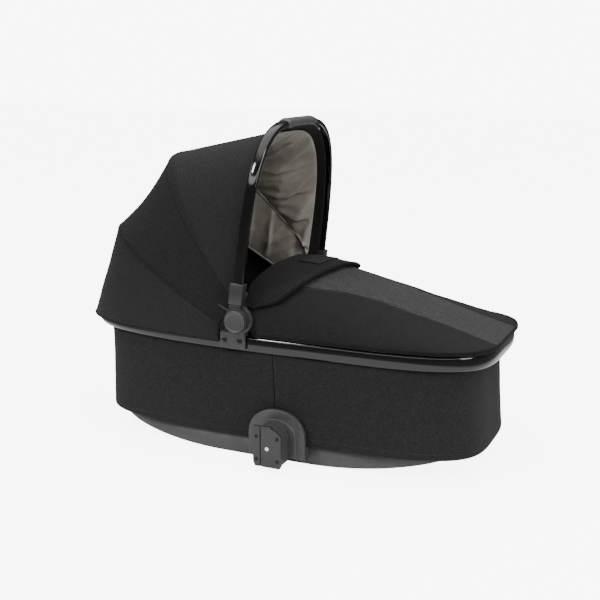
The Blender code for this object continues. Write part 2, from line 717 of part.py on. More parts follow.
def make_adapter(side, sign):
    """A boss on the side plate, a face plate held by four screws, and a steel locking pin."""
    plate_back = FIXING_FACE_Y - ADAPTER_PLATE_THICKNESS
    arch_outline = d_outline(
        ADAPTER_BOSS_HALF_WIDTH, ADAPTER_BOSS_LOW, ADAPTER_BOSS_SHOULDER, ADAPTER_BOSS_HIGH
    )
    boss = upright_prism(
        f"adapter_boss_{side}", arch_outline, SIDE_PLATE_Y + SEAT_GAP, plate_back - SEAT_GAP, sign,
        SATIN_GREY,
    )
    outline = [
        (ADAPTER_HALF_WIDTH * across, blend(ADAPTER_LOW, ADAPTER_HIGH, up))
        for across, up in ADAPTER_OUTLINE_SHARES
    ]
    plate = upright_prism(f"adapter_plate_{side}", outline, plate_back, FIXING_FACE_Y, sign, SATIN_GREY)
    groove_low, groove_high = y_box(
        FIXING_X - ADAPTER_GROOVE_X - ADAPTER_GROOVE / 2,
        FIXING_X - ADAPTER_GROOVE_X + ADAPTER_GROOVE / 2,
        FIXING_FACE_Y - ADAPTER_GROOVE, FIXING_FACE_Y + OVERRUN,
        ADAPTER_LOW - OVERRUN, ADAPTER_HIGH + OVERRUN, sign,
    )
    groove = block(f"adapter_groove_{side}", groove_low, groove_high, collection=CUTTERS)
    combine(plate, groove, "DIFFERENCE")
    pieces = [boss, plate]
    for number, (x, z) in enumerate(adapter_screw_spots(), start=1):
        spot = f"{side}_{number}"
        centre_y = sign * (FIXING_FACE_Y + OVERRUN - SCREW_LENGTH / 2)
        bore = disc(
            f"screw_bore_{spot}", (FIXING_X + x, centre_y, z), SCREW_RADIUS + HOLE_GAP,
            SCREW_LENGTH + 2 * OVERRUN, collection=CUTTERS, sides=12,
        )
        sink = disc(
            f"screw_sink_{spot}", (FIXING_X + x, sign * FIXING_FACE_Y, z), SCREW_HEAD_RADIUS + HOLE_GAP,
            2 * (SCREW_HEAD_HEIGHT + SEAT_GAP), collection=CUTTERS, sides=16,
        )
        combine(plate, bore, "DIFFERENCE")
        combine(plate, sink, "DIFFERENCE")
        combine(boss, bore, "DIFFERENCE")
        profile = (
            (0.0, SCREW_HEAD_HEIGHT - SCREW_SOCKET_DEPTH),
            (SCREW_SOCKET_RADIUS, SCREW_HEAD_HEIGHT - SCREW_SOCKET_DEPTH),
            (SCREW_SOCKET_RADIUS, SCREW_HEAD_HEIGHT),
            (SCREW_HEAD_RADIUS, SCREW_HEAD_HEIGHT),
            (SCREW_HEAD_RADIUS, 0.0),
            (SCREW_RADIUS, 0.0),
            (SCREW_RADIUS, -SCREW_LENGTH + SCREW_HEAD_HEIGHT),
            (0.0, -SCREW_LENGTH + SCREW_HEAD_HEIGHT),
        )
        place = (FIXING_X + x, sign * (FIXING_FACE_Y - SCREW_HEAD_HEIGHT), z)
        pieces.append(turned(f"adapter_screw_{spot}", profile, place, STEEL, sign, steps=12))
    pin_bore = disc(
        f"pin_bore_{side}", (FIXING_X, sign * (FIXING_FACE_Y - ADAPTER_PLATE_THICKNESS / 2), LOCK_PIN_Z),
        LOCK_PIN_RADIUS + HOLE_GAP, ADAPTER_PLATE_THICKNESS + 2 * OVERRUN, collection=CUTTERS,
    )
    combine(plate, pin_bore, "DIFFERENCE")
    pin_profile = (
        (0.0, LOCK_PIN_PROUD),
        (LOCK_PIN_RADIUS - LOCK_PIN_ROUND, LOCK_PIN_PROUD),
        (LOCK_PIN_RADIUS, LOCK_PIN_PROUD - LOCK_PIN_ROUND),
        (LOCK_PIN_RADIUS, -ADAPTER_PLATE_THICKNESS),
        (0.0, -ADAPTER_PLATE_THICKNESS),
    )
    pin_place = (FIXING_X, sign * FIXING_FACE_Y, LOCK_PIN_Z)
    pieces.append(turned(f"adapter_pin_{side}", pin_profile, pin_place, STEEL, sign))
    return pieces


# The hub brackets that clamp the hood and handle to the rim
BRACKET_FRONT_X = -0.0155
BRACKET_REAR_X = -0.0645
BRACKET_LOW = 0.211
BRACKET_THICKNESS = 0.005
BRACKET_LIP_REACH = 0.018
BRACKET_DISC_RADIUS = 0.026
BRACKET_DISC_THICKNESS = 0.007
BRACKET_NECK_HALF_WIDTH = 0.0112
BRACKET_INNER_Y = RIM_WIDTH / 2
RIVET_Z = 0.2255
RIVET_X = (-0.056, -0.026)
RIVET_RADIUS = 0.0024
RIVET_HEAD_RADIUS = 0.0048
RIVET_HEAD_HEIGHT = 0.0016
RIVET_HEAD_ROUND = 0.0008
RIVET_LENGTH = 0.014
PIN_RADIUS = 0.0040
PIN_INSET = 0.0135
PIN_INNER_Y = BRACKET_INNER_Y - PIN_INSET
BRACKET_OUTER_Y = BRACKET_INNER_Y + BRACKET_DISC_THICKNESS


def make_bracket(side, sign):
    lip_z = RIM_TOP + SEAT_GAP
    plate_outer = BRACKET_INNER_Y + BRACKET_THICKNESS
    plate = block(
        f"hub_bracket_{side}",
        *y_box(BRACKET_REAR_X, BRACKET_FRONT_X, BRACKET_INNER_Y, plate_outer, BRACKET_LOW,
               lip_z + BRACKET_THICKNESS, sign),
        SATIN_GREY,
    )
    lip = block(
        f"bracket_lip_{side}",
        *y_box(BRACKET_REAR_X, BRACKET_FRONT_X, BRACKET_INNER_Y - BRACKET_LIP_REACH,
               BRACKET_INNER_Y + BRACKET_THICKNESS / 2, lip_z, lip_z + BRACKET_THICKNESS, sign),
        collection=CUTTERS,
    )
    neck = block(
        f"bracket_neck_{side}",
        *y_box(HUB_X - BRACKET_NECK_HALF_WIDTH, HUB_X + BRACKET_NECK_HALF_WIDTH, BRACKET_INNER_Y,
               BRACKET_OUTER_Y, RIVET_Z + RIVET_HEAD_RADIUS + HOLE_GAP, HUB_Z, sign),
        collection=CUTTERS,
    )
    round_y = sign * (BRACKET_INNER_Y + BRACKET_DISC_THICKNESS / 2)
    hub = disc(f"bracket_hub_{side}", (HUB_X, round_y, HUB_Z), BRACKET_DISC_RADIUS, BRACKET_DISC_THICKNESS,
               collection=CUTTERS, sides=32)
    bore = disc(f"bracket_bore_{side}", (HUB_X, round_y, HUB_Z), PIN_RADIUS + HOLE_GAP,
                BRACKET_DISC_THICKNESS + 2 * OVERRUN, collection=CUTTERS)
    for tool in (lip, neck, hub):
        combine(plate, tool, "UNION")
    return combine(plate, bore, "DIFFERENCE")


def make_rivets(side, sign, bracket, rim):
    rivets = []
    head_y = BRACKET_INNER_Y + BRACKET_THICKNESS + SEAT_GAP
    for number, x in enumerate(RIVET_X, start=1):
        spot = f"{side}_{number}"
        bore = disc(f"rivet_bore_{spot}", (x, sign * (head_y - RIVET_LENGTH / 2), RIVET_Z),
                    RIVET_RADIUS + HOLE_GAP, RIVET_LENGTH + OVERRUN, collection=CUTTERS, sides=12)
        combine(bracket, bore, "DIFFERENCE")
        combine(rim, bore, "DIFFERENCE")
        profile = (
            (0.0, RIVET_HEAD_HEIGHT),
            (RIVET_HEAD_RADIUS - RIVET_HEAD_ROUND, RIVET_HEAD_HEIGHT),
            (RIVET_HEAD_RADIUS, RIVET_HEAD_HEIGHT - RIVET_HEAD_ROUND),
            (RIVET_HEAD_RADIUS, 0.0),
            (RIVET_RADIUS, 0.0),
            (RIVET_RADIUS, -RIVET_LENGTH),
            (0.0, -RIVET_LENGTH),
        )
        place = (x, sign * head_y, RIVET_Z)
        rivets.append(turned(f"rim_rivet_{spot}", profile, place, STEEL, sign, steps=12))
    return rivets


# The sockets that hold the feet of the bow and turn on the hub pins
LUG_RADIUS = 0.0220
SOCKET_DEPTH = 0.0125
SOCKET_WALL = 0.0015
SOCKET_OUTER_Y = BRACKET_OUTER_Y + SOCKET_DEPTH
SOCKET_INNER_Y = BOW_HALF_WIDTH - BOW_THICKNESS / 2 - SOCKET_WALL
SOCKET_LOW = 0.0285
SOCKET_HIGH = 0.0670
SOCKET_CUP_STEP = 0.0035
SOCKET_HALF_WIDTH = 0.0130
SOCKET_NECK_HALF_WIDTH = 0.0108
SOCKET_ROUND = 0.0020
POCKET_RADIUS = 0.0203
POCKET_DEPTH = 0.0080
POCKET_FLOOR_Y = SOCKET_OUTER_Y - POCKET_DEPTH
BOW_FOOT = 0.0330
BUTTON_RADIUS = 0.0200
BUTTON_LIFT = 0.0047
BUTTON_PROUD = 0.0035
BUTTON_INNER_Y = POCKET_FLOOR_Y + BUTTON_LIFT
BUTTON_OUTER_Y = SOCKET_OUTER_Y + BUTTON_PROUD
BUTTON_RING_HEIGHT = 0.0012
BUTTON_RING_WIDTH = 0.0022
BUTTON_ROUND = 0.0010
SPRING_INNER_RADIUS = 0.0085
SPRING_OUTER_RADIUS = 0.0115
SPRING_THICKNESS = 0.0010
PIN_END_GAP = 0.0003


def make_socket(side, sign):
    """Made upright about the hub axis, then leaned with the bow."""
    lean = Matrix.Rotation(math.radians(BOW_ANGLE_DEGREES - 90), 4, "Y")
    turn = Matrix.Translation((HUB_X, 0, HUB_Z)) @ lean
    inner = BRACKET_OUTER_Y + SEAT_GAP
    cup_outer = SOCKET_OUTER_Y - SOCKET_CUP_STEP
    cup = block(
        f"bow_socket_{side}",
        *y_box(-BOW_SET_BACK - SOCKET_HALF_WIDTH, -BOW_SET_BACK + SOCKET_HALF_WIDTH, SOCKET_INNER_Y,
               cup_outer, SOCKET_LOW, SOCKET_HIGH, sign),
        SATIN_GREY, turn=turn,
    )
    bevelled(cup, SOCKET_ROUND)
    neck = block(
        f"socket_neck_{side}",
        *y_box(-BOW_SET_BACK - SOCKET_NECK_HALF_WIDTH, -BOW_SET_BACK + SOCKET_NECK_HALF_WIDTH,
               inner + SOCKET_ROUND / 2, cup_outer - SOCKET_ROUND / 2,
               0.0, SOCKET_LOW + SOCKET_ROUND * 2, sign),
        collection=CUTTERS, turn=turn,
    )
    lug = disc(f"socket_lug_{side}", (0, sign * (inner + SOCKET_OUTER_Y) / 2, 0), LUG_RADIUS,
               SOCKET_OUTER_Y - inner, collection=CUTTERS, turn=turn, sides=32)
    pocket_top = SOCKET_OUTER_Y + OVERRUN
    pocket = disc(f"button_pocket_{side}", (0, sign * (POCKET_FLOOR_Y + pocket_top) / 2, 0), POCKET_RADIUS,
                  pocket_top - POCKET_FLOOR_Y, collection=CUTTERS, turn=turn, sides=32)
    bore = disc(f"socket_bore_{side}", (0, sign * inner, 0), PIN_RADIUS + HOLE_GAP,
                2 * (POCKET_FLOOR_Y - inner + OVERRUN), collection=CUTTERS, turn=turn)
    hole = block(
        f"socket_hole_{side}",
        *y_box(-BOW_SET_BACK - BOW_WIDTH / 2 - SEAT_GAP, -BOW_SET_BACK + BOW_WIDTH / 2 + SEAT_GAP,
               BOW_HALF_WIDTH - BOW_THICKNESS / 2 - SEAT_GAP, BOW_HALF_WIDTH + BOW_THICKNESS / 2 + SEAT_GAP,
               BOW_FOOT - SEAT_GAP, SOCKET_HIGH + OVERRUN, sign),
        collection=CUTTERS, turn=turn,
    )
    combine(cup, neck, "UNION")
    combine(cup, lug, "UNION")
    for tool in (pocket, bore, hole):
        combine(cup, tool, "DIFFERENCE")
    return cup


def make_hub_pin(side, sign):
    outer = POCKET_FLOOR_Y - PIN_END_GAP
    profile = (
        (0.0, outer),
        (PIN_RADIUS, outer),
        (PIN_RADIUS, PIN_INNER_Y),
        (0.0, PIN_INNER_Y),
    )
    return turned(f"hub_pin_{side}", profile, (HUB_X, 0.0, HUB_Z), STEEL, sign)


def make_button(side, sign):
    """A round push button with a raised ring, and the flat spring washer under it."""
    recess = BUTTON_OUTER_Y - BUTTON_RING_HEIGHT
    profile = (
        (0.0, recess),
        (BUTTON_RADIUS - BUTTON_RING_WIDTH - BUTTON_ROUND, recess),
        (BUTTON_RADIUS - BUTTON_RING_WIDTH, BUTTON_OUTER_Y),
        (BUTTON_RADIUS - BUTTON_ROUND, BUTTON_OUTER_Y),
        (BUTTON_RADIUS, BUTTON_OUTER_Y - BUTTON_ROUND),
        (BUTTON_RADIUS, BUTTON_INNER_Y),
        (0.0, BUTTON_INNER_Y),
    )
    button = turned(f"hub_button_{side}", profile, (HUB_X, 0.0, HUB_Z), SATIN_GREY, sign, steps=24)
    washer_low = POCKET_FLOOR_Y + SEAT_GAP
    washer_high = washer_low + SPRING_THICKNESS
    ring = (
        (SPRING_INNER_RADIUS, washer_high),
        (SPRING_OUTER_RADIUS, washer_high),
        (SPRING_OUTER_RADIUS, washer_low),
        (SPRING_INNER_RADIUS, washer_low),
    )
    spring = turned(f"button_spring_{side}", ring, (HUB_X, 0.0, HUB_Z), STEEL, sign, steps=20)
    return button, spring


# The bow, its grip, and the two ribs inside the hood
BOW_COUNT = 41
GRIP_HALF_LENGTH = 0.068
GRIP_THICKNESS = 0.0016
RIB_RADIUS = 0.0025
RIB_EYE_RADIUS = 0.0075
RIB_EYE_THICKNESS = 0.0040
RIB_COUNT = 33
FRONT_RIB_ANGLE_DEGREES = 54.1
FRONT_RIB_INSET = 0.0106
FRONT_RIB_DROP = 0.0029
FRONT_RIB_HALF_WIDTH = RIM_WIDTH / 2 - FRONT_RIB_INSET
FRONT_RIB_REACH = BOW_REACH - FRONT_RIB_DROP
FRONT_RIB_POWER = 3.03
REAR_RIB_ANGLE_DEGREES = 26.7
REAR_RIB_INSET = 0.0053
REAR_RIB_DROP = 0.0170
REAR_RIB_HALF_WIDTH = RIM_WIDTH / 2 - REAR_RIB_INSET
REAR_RIB_REACH = BOW_REACH - REAR_RIB_DROP
REAR_RIB_POWER = 4.5


def make_bow():
    frame = hood_frame(BOW_ANGLE_DEGREES, -BOW_SET_BACK)
    path = arch(BOW_HALF_WIDTH, BOW_REACH, BOW_POWER, BOW_FOOT, BOW_COUNT, leg=BOW_LEG)
    profile = section("bow_section", BOW_THICKNESS, BOW_WIDTH, power=2.8, count=12)
    bow = rail("hood_bow", path, profile, GLOSS_BLACK, frame)
    held_depth = BOW_THICKNESS + 2 * SEAT_GAP
    outer = section("grip_section", held_depth, BOW_WIDTH + 2 * SEAT_GAP, power=2.8, count=12)
    held = [p for p in path if abs(p.x) <= GRIP_HALF_LENGTH]
    bpy.context.view_layer.update()
    grip = as_mesh(rail("hood_grip", held, outer, GRIP_LEATHER, frame, capped=False))
    return bow, thickened(grip, GRIP_THICKNESS, outward=True)


def make_rib(name, angle_degrees, half_width, reach, power):
    """A round rod arched over the hood, with a flat eye on the hub pin at each end."""
    frame = hood_frame(angle_degrees)
    profile = section(f"{name}_section", 2 * RIB_RADIUS, 2 * RIB_RADIUS, power=2.0, count=8)
    path = arch(half_width, reach, power, RIB_EYE_RADIUS / 2, RIB_COUNT)
    curve = rail(name, path, profile, STEEL, frame)
    bpy.context.view_layer.update()
    rib = as_mesh(curve)
    for side, sign in SIDES:
        at = (HUB_X, sign * half_width, HUB_Z)
        eye = disc(f"{name}_eye_{side}", at, RIB_EYE_RADIUS, RIB_EYE_THICKNESS, collection=CUTTERS)
        bore = disc(f"{name}_bore_{side}", at, PIN_RADIUS + HOLE_GAP, 2 * RIB_RADIUS + 2 * OVERRUN,
                    collection=CUTTERS)
        combine(rib, eye, "UNION")
        combine(rib, bore, "DIFFERENCE")
    return rib


# The hood's cloth: three outer panels and a lining
PANEL_THICKNESS = 0.0025
PANEL_COUNT = 33
SEAM_GAP = 0.0006
HOOD_START = 0.050
HOOD_FRONT_START = 0.075
FRONT_DIP_BEHIND = 0.0065
FRONT_DIP_INSET = 0.0075
FRONT_DIP_DROP = 0.0172
FRONT_DIP_HALF_WIDTH = BOW_HALF_WIDTH - FRONT_DIP_INSET
FRONT_DIP_REACH = BOW_REACH - FRONT_DIP_DROP
FRONT_SEAM_X = -0.022
FRONT_SEAM_Z = 0.268
FRONT_SEAM_ANGLE_DEGREES = 53.1
FRONT_SEAM_INSET = 0.0039
FRONT_SEAM_RISE = 0.0034
FRONT_SEAM_HALF_WIDTH = RIM_WIDTH / 2 - FRONT_SEAM_INSET
FRONT_SEAM_REACH = FRONT_RIB_REACH + FRONT_SEAM_RISE
REAR_SEAM_X = -0.053
REAR_SEAM_Z = 0.239
REAR_SEAM_ANGLE_DEGREES = 33.0
REAR_SEAM_PROUD = 0.0020
REAR_SEAM_DROP = 0.0065
REAR_SEAM_HALF_WIDTH = RIM_WIDTH / 2 + REAR_SEAM_PROUD
REAR_SEAM_REACH = REAR_RIB_REACH - REAR_SEAM_DROP
REAR_SEAM_POWER = 4.9
REAR_SEAM_START = 0.022
HEM_Z = 0.2225
HEM_SIDE_CLEARANCE = 0.0060
HEM_HEAD_CLEARANCE = 0.0080
HEM_FRONT_X = -0.066
LINING_THICKNESS = 0.0015
LINING_START = 0.052
LINING_GAP = 0.0009
LINING_COUNT = 47
LINING_ROW_COUNT = 4
LINING_FOLD_COUNT = 9
LINING_FOLD_DEPTH = 0.0040


def front_edge(inset=0.0, count=PANEL_COUNT):
    """The hood's mouth, tucked against the inner face of the bow and its grip."""
    half_width = BOW_HALF_WIDTH - BOW_THICKNESS / 2 - SEAT_GAP - PANEL_THICKNESS - inset
    reach = BOW_REACH - BOW_THICKNESS / 2 - GRIP_THICKNESS - 2 * SEAT_GAP - PANEL_THICKNESS - inset
    path = arch(half_width, reach, BOW_POWER, HOOD_FRONT_START, count, leg=BOW_LEG)
    return placed(path, hood_frame(BOW_ANGLE_DEGREES, -BOW_SET_BACK))


def front_dip():
    """Where the cloth leaves the bow, a little below it."""
    behind = BOW_SET_BACK + BOW_WIDTH / 2 + FRONT_DIP_BEHIND
    path = arch(FRONT_DIP_HALF_WIDTH, FRONT_DIP_REACH, BOW_POWER, HOOD_FRONT_START, PANEL_COUNT,
                leg=BOW_LEG)
    return placed(path, hood_frame(BOW_ANGLE_DEGREES, -behind))


def front_seam(start=HOOD_START):
    path = arch(FRONT_SEAM_HALF_WIDTH, FRONT_SEAM_REACH, FRONT_RIB_POWER, start, PANEL_COUNT)
    return placed(path, hood_frame(FRONT_SEAM_ANGLE_DEGREES, x=FRONT_SEAM_X, z=FRONT_SEAM_Z))


def rear_seam():
    path = arch(REAR_SEAM_HALF_WIDTH, REAR_SEAM_REACH, REAR_SEAM_POWER, REAR_SEAM_START, PANEL_COUNT)
    return placed(path, hood_frame(REAR_SEAM_ANGLE_DEGREES, x=REAR_SEAM_X, z=REAR_SEAM_Z))


def hem():
    """The hood's lower edge, just outside the rim, from right to left round the head end."""
    ring = plan(-HEM_SIDE_CLEARANCE, -HEM_HEAD_CLEARANCE, 0.0, HEM_Z, count=PLAN_COUNT * 8)
    behind = [p for p in ring if p.x <= HEM_FRONT_X]
    behind.sort(key=lambda p: math.atan2(p.y, -p.x))
    return evenly(behind, PANEL_COUNT)


def make_panel(name, edges, row_count, first_gap, last_gap):
    """Ruled strips of cloth through two or more edges, kept clear of the strips beside it."""
    last_pair = len(edges) - 2
    rows = []
    for pair, (lower, upper) in enumerate(zip(edges, edges[1:])):
        for step in range(0 if pair == 0 else 1, row_count + 1):
            row = []
            for low, high in zip(lower, upper):
                length = (high - low).length
                first = first_gap / length if pair == 0 else 0.0
                last = 1 - last_gap / length if pair == last_pair else 1.0
                row.append(low.lerp(high, blend(first, last, step / row_count)))
            rows.append(row)
    panel = loft(name, rows, HOOD_CLOTH, centre=(HUB_X, 0.0, HUB_Z))
    return thickened(panel, PANEL_THICKNESS, outward=True)


def rib_line(angle_degrees, half_width, reach, power):
    """Where the lining passes under a rib."""
    inner = RIB_RADIUS + LINING_THICKNESS + LINING_GAP
    path = arch(half_width - inner, reach - inner, power, LINING_START, LINING_COUNT)
    return placed(path, hood_frame(angle_degrees))


def make_lining(name, lower, upper, lower_gap, upper_gap):
    """A soft skin between two arches, with folds that fade out at both."""
    hub_point = Vector((HUB_X, 0.0, HUB_Z))
    rows = []
    for step in range(LINING_ROW_COUNT + 1):
        along = step / LINING_ROW_COUNT
        row = []
        for i, (low, high) in enumerate(zip(lower, upper)):
            length = (high - low).length
            place = low.lerp(high, blend(lower_gap / length, 1 - upper_gap / length, along))
            wave = (1 - math.cos(2 * math.pi * LINING_FOLD_COUNT * i / (LINING_COUNT - 1))) / 2
            inward = (hub_point - place).normalized()
            row.append(place + inward * LINING_FOLD_DEPTH * wave * math.sin(math.pi * along))
        rows.append(row)
    lining = loft(name, rows, LINING_CLOTH, centre=(HUB_X, 0.0, HUB_Z))
    return thickened(lining, LINING_THICKNESS, outward=True)


# The apron over the child's legs, and the wind flap folded back from its head edge
APRON_SIDE_INSET = 0.0020
APRON_END_OVERHANG = 0.0030
APRON_HEM_X = 0.0030
APRON_HEAD_REACH = 0.0300
APRON_HEIGHT = 0.1020
APRON_POWER = 2.5
APRON_THICKNESS = 0.0040
APRON_COUNT = 23
APRON_HEM_Z = RIM_TOP + SEAT_GAP
APRON_HEAD_SHARES = ((0.0, 0.62), (0.3, 0.77), (0.5, 0.97), (0.7, 0.75), (0.85, 0.25), (1.0, 0.0))
APRON_CREST_SHARES = (
    (0.0, 1.0), (0.026, 1.0), (0.163, 0.943), (0.343, 0.769), (0.512, 0.575),
    (0.738, 0.255), (0.912, 0.065), (0.986, 0.015), (1.0, 0.0),
)
APRON_ROW_SHARES = (0.0, 0.08, 0.18, 0.28, 0.40, 0.52, 0.64, 0.76, 0.86, 0.93, 0.97, 1.0)
FLAP_LIFT = APRON_THICKNESS + 2 * SEAT_GAP
FLAP_THICKNESS = 0.0065
FLAP_REACH = 0.0985
FLAP_ACROSS_SHARE = 0.74
FLAP_EDGE_SHARES = (
    (0.0, 1.0), (0.27, 1.015), (0.486, 0.983), (0.635, 0.966), (0.81, 0.80),
    (0.905, 0.574), (0.96, 0.29), (1.0, 0.06),
)
FLAP_COUNT = 25
FLAP_ROW_COUNT = 4
APRON_END_X = RIM_LENGTH / 2 + APRON_END_OVERHANG


def table_value(shares, at):
    for (x0, y0), (x1, y1) in zip(shares, shares[1:]):
        if at <= x1:
            return blend(y0, y1, (at - x0) / (x1 - x0))
    return shares[-1][1]


def apron_head_x(across):
    return APRON_HEM_X - APRON_HEAD_REACH * table_value(APRON_HEAD_SHARES, abs(across))


def apron_point(x, across, lift=0.0):
    """A point on the apron's inner face: x along the tub, and -1 to 1 from the right hem to the left."""
    first_x = APRON_HEM_X - APRON_HEAD_REACH
    height = APRON_HEIGHT * table_value(APRON_CREST_SHARES, (x - first_x) / (APRON_END_X - first_x))
    half_width = plan_half_width(x, APRON_SIDE_INSET, -APRON_END_OVERHANG)
    up, out = power_point(math.pi / 2 * (1 - abs(across)), APRON_POWER)[::-1]
    y = math.copysign((half_width + lift) * out, across)
    return Vector((x, y, APRON_HEM_Z + (height + lift) * up))


def make_apron():
    rows = []
    for share in APRON_ROW_SHARES:
        row = []
        for i in range(APRON_COUNT):
            across = 2 * i / (APRON_COUNT - 1) - 1
            row.append(apron_point(blend(apron_head_x(across), APRON_END_X, share), across))
        rows.append(row)
    apron = loft("apron", rows, APRON_CLOTH, centre=(WIDEST_X, 0.0, RIM_UNDERSIDE))
    return thickened(apron, APRON_THICKNESS, outward=True)


def make_flap():
    """A padded tongue that lies on the apron, from the fold to its rounded free edge."""
    rows = []
    for step in range(FLAP_ROW_COUNT + 1):
        row = []
        for i in range(FLAP_COUNT):
            share = math.sin(math.pi / 2 * (2 * i / (FLAP_COUNT - 1) - 1))
            across = share * FLAP_ACROSS_SHARE
            reach = FLAP_REACH * table_value(FLAP_EDGE_SHARES, abs(share))
            row.append(apron_point(apron_head_x(across) + reach * step / FLAP_ROW_COUNT, across, FLAP_LIFT))
        rows.append(row)
    flap = loft("apron_flap", rows, APRON_CLOTH, centre=(WIDEST_X, 0.0, RIM_UNDERSIDE))
    return thickened(flap, FLAP_THICKNESS, outward=True)


rim = make_rim()
make_body_cover()
make_base_board()
make_liner()
make_mattress()
make_base_tray()
make_end_stay("head_stay", -1, BOARD_INSETS[1], COVER_HEAD_INSET)
make_end_stay("foot_stay", 1, BOARD_INSETS[2], COVER_FOOT_INSET)

bow, grip = make_bow()
front_rib = make_rib(
    "front_rib", FRONT_RIB_ANGLE_DEGREES, FRONT_RIB_HALF_WIDTH, FRONT_RIB_REACH, FRONT_RIB_POWER
)
rear_rib = make_rib(
    "rear_rib", REAR_RIB_ANGLE_DEGREES, REAR_RIB_HALF_WIDTH, REAR_RIB_REACH, REAR_RIB_POWER
)
front_lines = (front_seam(), front_dip(), front_edge())
front_panel = make_panel("hood_panel_front", front_lines, 2, SEAM_GAP, 0.0)
middle_panel = make_panel("hood_panel_middle", (rear_seam(), front_seam()), 2, SEAM_GAP, SEAM_GAP)
rear_panel = make_panel("hood_panel_rear", (hem(), rear_seam()), 2, 0.0, SEAM_GAP)
rear_rib_line = rib_line(REAR_RIB_ANGLE_DEGREES, FRONT_RIB_HALF_WIDTH, REAR_RIB_REACH, REAR_RIB_POWER)
front_rib_line = rib_line(FRONT_RIB_ANGLE_DEGREES, FRONT_RIB_HALF_WIDTH, FRONT_RIB_REACH, FRONT_RIB_POWER)
mouth_line = front_edge(SEAM_GAP + LINING_THICKNESS, LINING_COUNT)
rear_lining = make_lining("hood_lining_rear", rear_rib_line, front_rib_line, 0.0, SEAM_GAP)
front_lining = make_lining("hood_lining_front", front_rib_line, mouth_line, SEAM_GAP, 0.0)

hub = (HUB_X, 0.0, HUB_Z)
bow_pivot = empty("bow_pivot", hub)
carry([bow, grip, front_panel, front_lining], bow_pivot)
carry([front_rib, middle_panel, rear_lining], empty("front_rib_pivot", hub))
carry([rear_rib, rear_panel], empty("rear_rib_pivot", hub))

for side, sign in SIDES:
    make_side_post(side, sign)
    make_side_plate(side, sign)
    make_adapter(side, sign)
    bracket = make_bracket(side, sign)
    make_rivets(side, sign, bracket, rim)
    make_hub_pin(side, sign)
    socket = make_socket(side, sign)
    button, spring = make_button(side, sign)
    carry([socket, button, spring], bow_pivot)

make_apron()
flap = make_flap()
carry([flap], empty("flap_pivot", (apron_head_x(0.0), 0.0, APRON_HEM_Z + APRON_HEIGHT)))
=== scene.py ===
"""Looks of the carrycot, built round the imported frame: metres, +X foot end, +Y left, +Z up."""

import math

import bmesh
import bpy
import numpy as np
from mathutils import Matrix, Vector, noise


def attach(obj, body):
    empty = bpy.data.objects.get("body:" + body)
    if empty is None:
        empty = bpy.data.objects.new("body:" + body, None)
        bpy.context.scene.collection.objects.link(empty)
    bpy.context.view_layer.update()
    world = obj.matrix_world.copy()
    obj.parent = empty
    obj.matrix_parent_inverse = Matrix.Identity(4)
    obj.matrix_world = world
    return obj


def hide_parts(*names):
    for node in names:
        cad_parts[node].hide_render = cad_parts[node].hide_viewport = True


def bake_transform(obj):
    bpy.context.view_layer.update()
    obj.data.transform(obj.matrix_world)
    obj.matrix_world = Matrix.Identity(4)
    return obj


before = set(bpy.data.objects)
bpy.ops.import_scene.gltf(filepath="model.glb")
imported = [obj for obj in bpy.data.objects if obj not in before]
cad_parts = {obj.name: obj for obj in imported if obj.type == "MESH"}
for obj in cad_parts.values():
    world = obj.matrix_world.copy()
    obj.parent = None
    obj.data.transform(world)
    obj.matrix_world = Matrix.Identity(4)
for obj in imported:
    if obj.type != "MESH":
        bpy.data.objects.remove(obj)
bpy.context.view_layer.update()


# Camera. It stands where the photograph was taken from: a short way above the rim, in front of
# the right-hand side and towards the foot end, with a lens that gives the photograph's frame.
CAMERA_TARGET = Vector((0.0102, 0.0, 0.266))
CAMERA_DISTANCE = 1.9139
CAMERA_AZIMUTH = math.radians(24.174)
CAMERA_ELEVATION = math.radians(13.160)
CAMERA_FOCAL_PIXELS = 1001.0
FRAME_PIXELS = 600.0
SENSOR_WIDTH = 36.0


def linked(name, data):
    """A new object in the scene."""
    made = bpy.data.objects.new(name, data)
    bpy.context.scene.collection.objects.link(made)
    return made


camera = linked("photograph_view", bpy.data.cameras.new("photograph_view"))
camera.data.sensor_width = SENSOR_WIDTH
camera.data.lens = SENSOR_WIDTH * CAMERA_FOCAL_PIXELS / FRAME_PIXELS
away = Vector((
    math.sin(CAMERA_AZIMUTH) * math.cos(CAMERA_ELEVATION),
    -math.cos(CAMERA_AZIMUTH) * math.cos(CAMERA_ELEVATION),
    math.sin(CAMERA_ELEVATION),
))
camera.location = CAMERA_TARGET + away * CAMERA_DISTANCE
camera.rotation_euler = away.to_track_quat("Z", "Y").to_euler()
bpy.context.scene.camera = camera


# Studio floor and lights. The object stands on a pale matt table under a wide overhead light,
# with one long low strip on the camera's side that draws the bright line along the gloss rim.
# The room beyond the table is dark, which is what blackens the gloss parts.
FLOOR_HALF_SIZE = 14.0
TABLE_RADIUS = 0.85
TABLE_FADE = 0.20
TABLE_SHADE = 0.93
ROOM_FLOOR_SHADE = 0.12
FLOOR_GLOW = 6.2
SKY_SEEN = 8.4
SKY_TOP = 3.1
SKY_ROOM = 0.16
SKY_FROM, SKY_FULL = 0.62, 0.86
STRIP_LIGHT = 5.0
STRIP_LOW, STRIP_HIGH, STRIP_SOFT = 0.36, 0.44, 0.02
STRIP_SIDE_FULL, STRIP_SIDE_END = -0.30, 0.20
WHITE = (1.0, 1.0, 1.0, 1.0)
LIGHTS_AIM = Vector((0.0, 0.0, 0.25))
LIGHTS = (
    ("key_box", (-1.5, -2.3, 2.3), 0.5, 48.0),
    ("foot_end_fill", (2.9, -1.2, 1.3), 1.2, 34.0),
    ("hood_mouth_fill", (1.8, -0.9, 1.9), 0.6, 20.0),
)


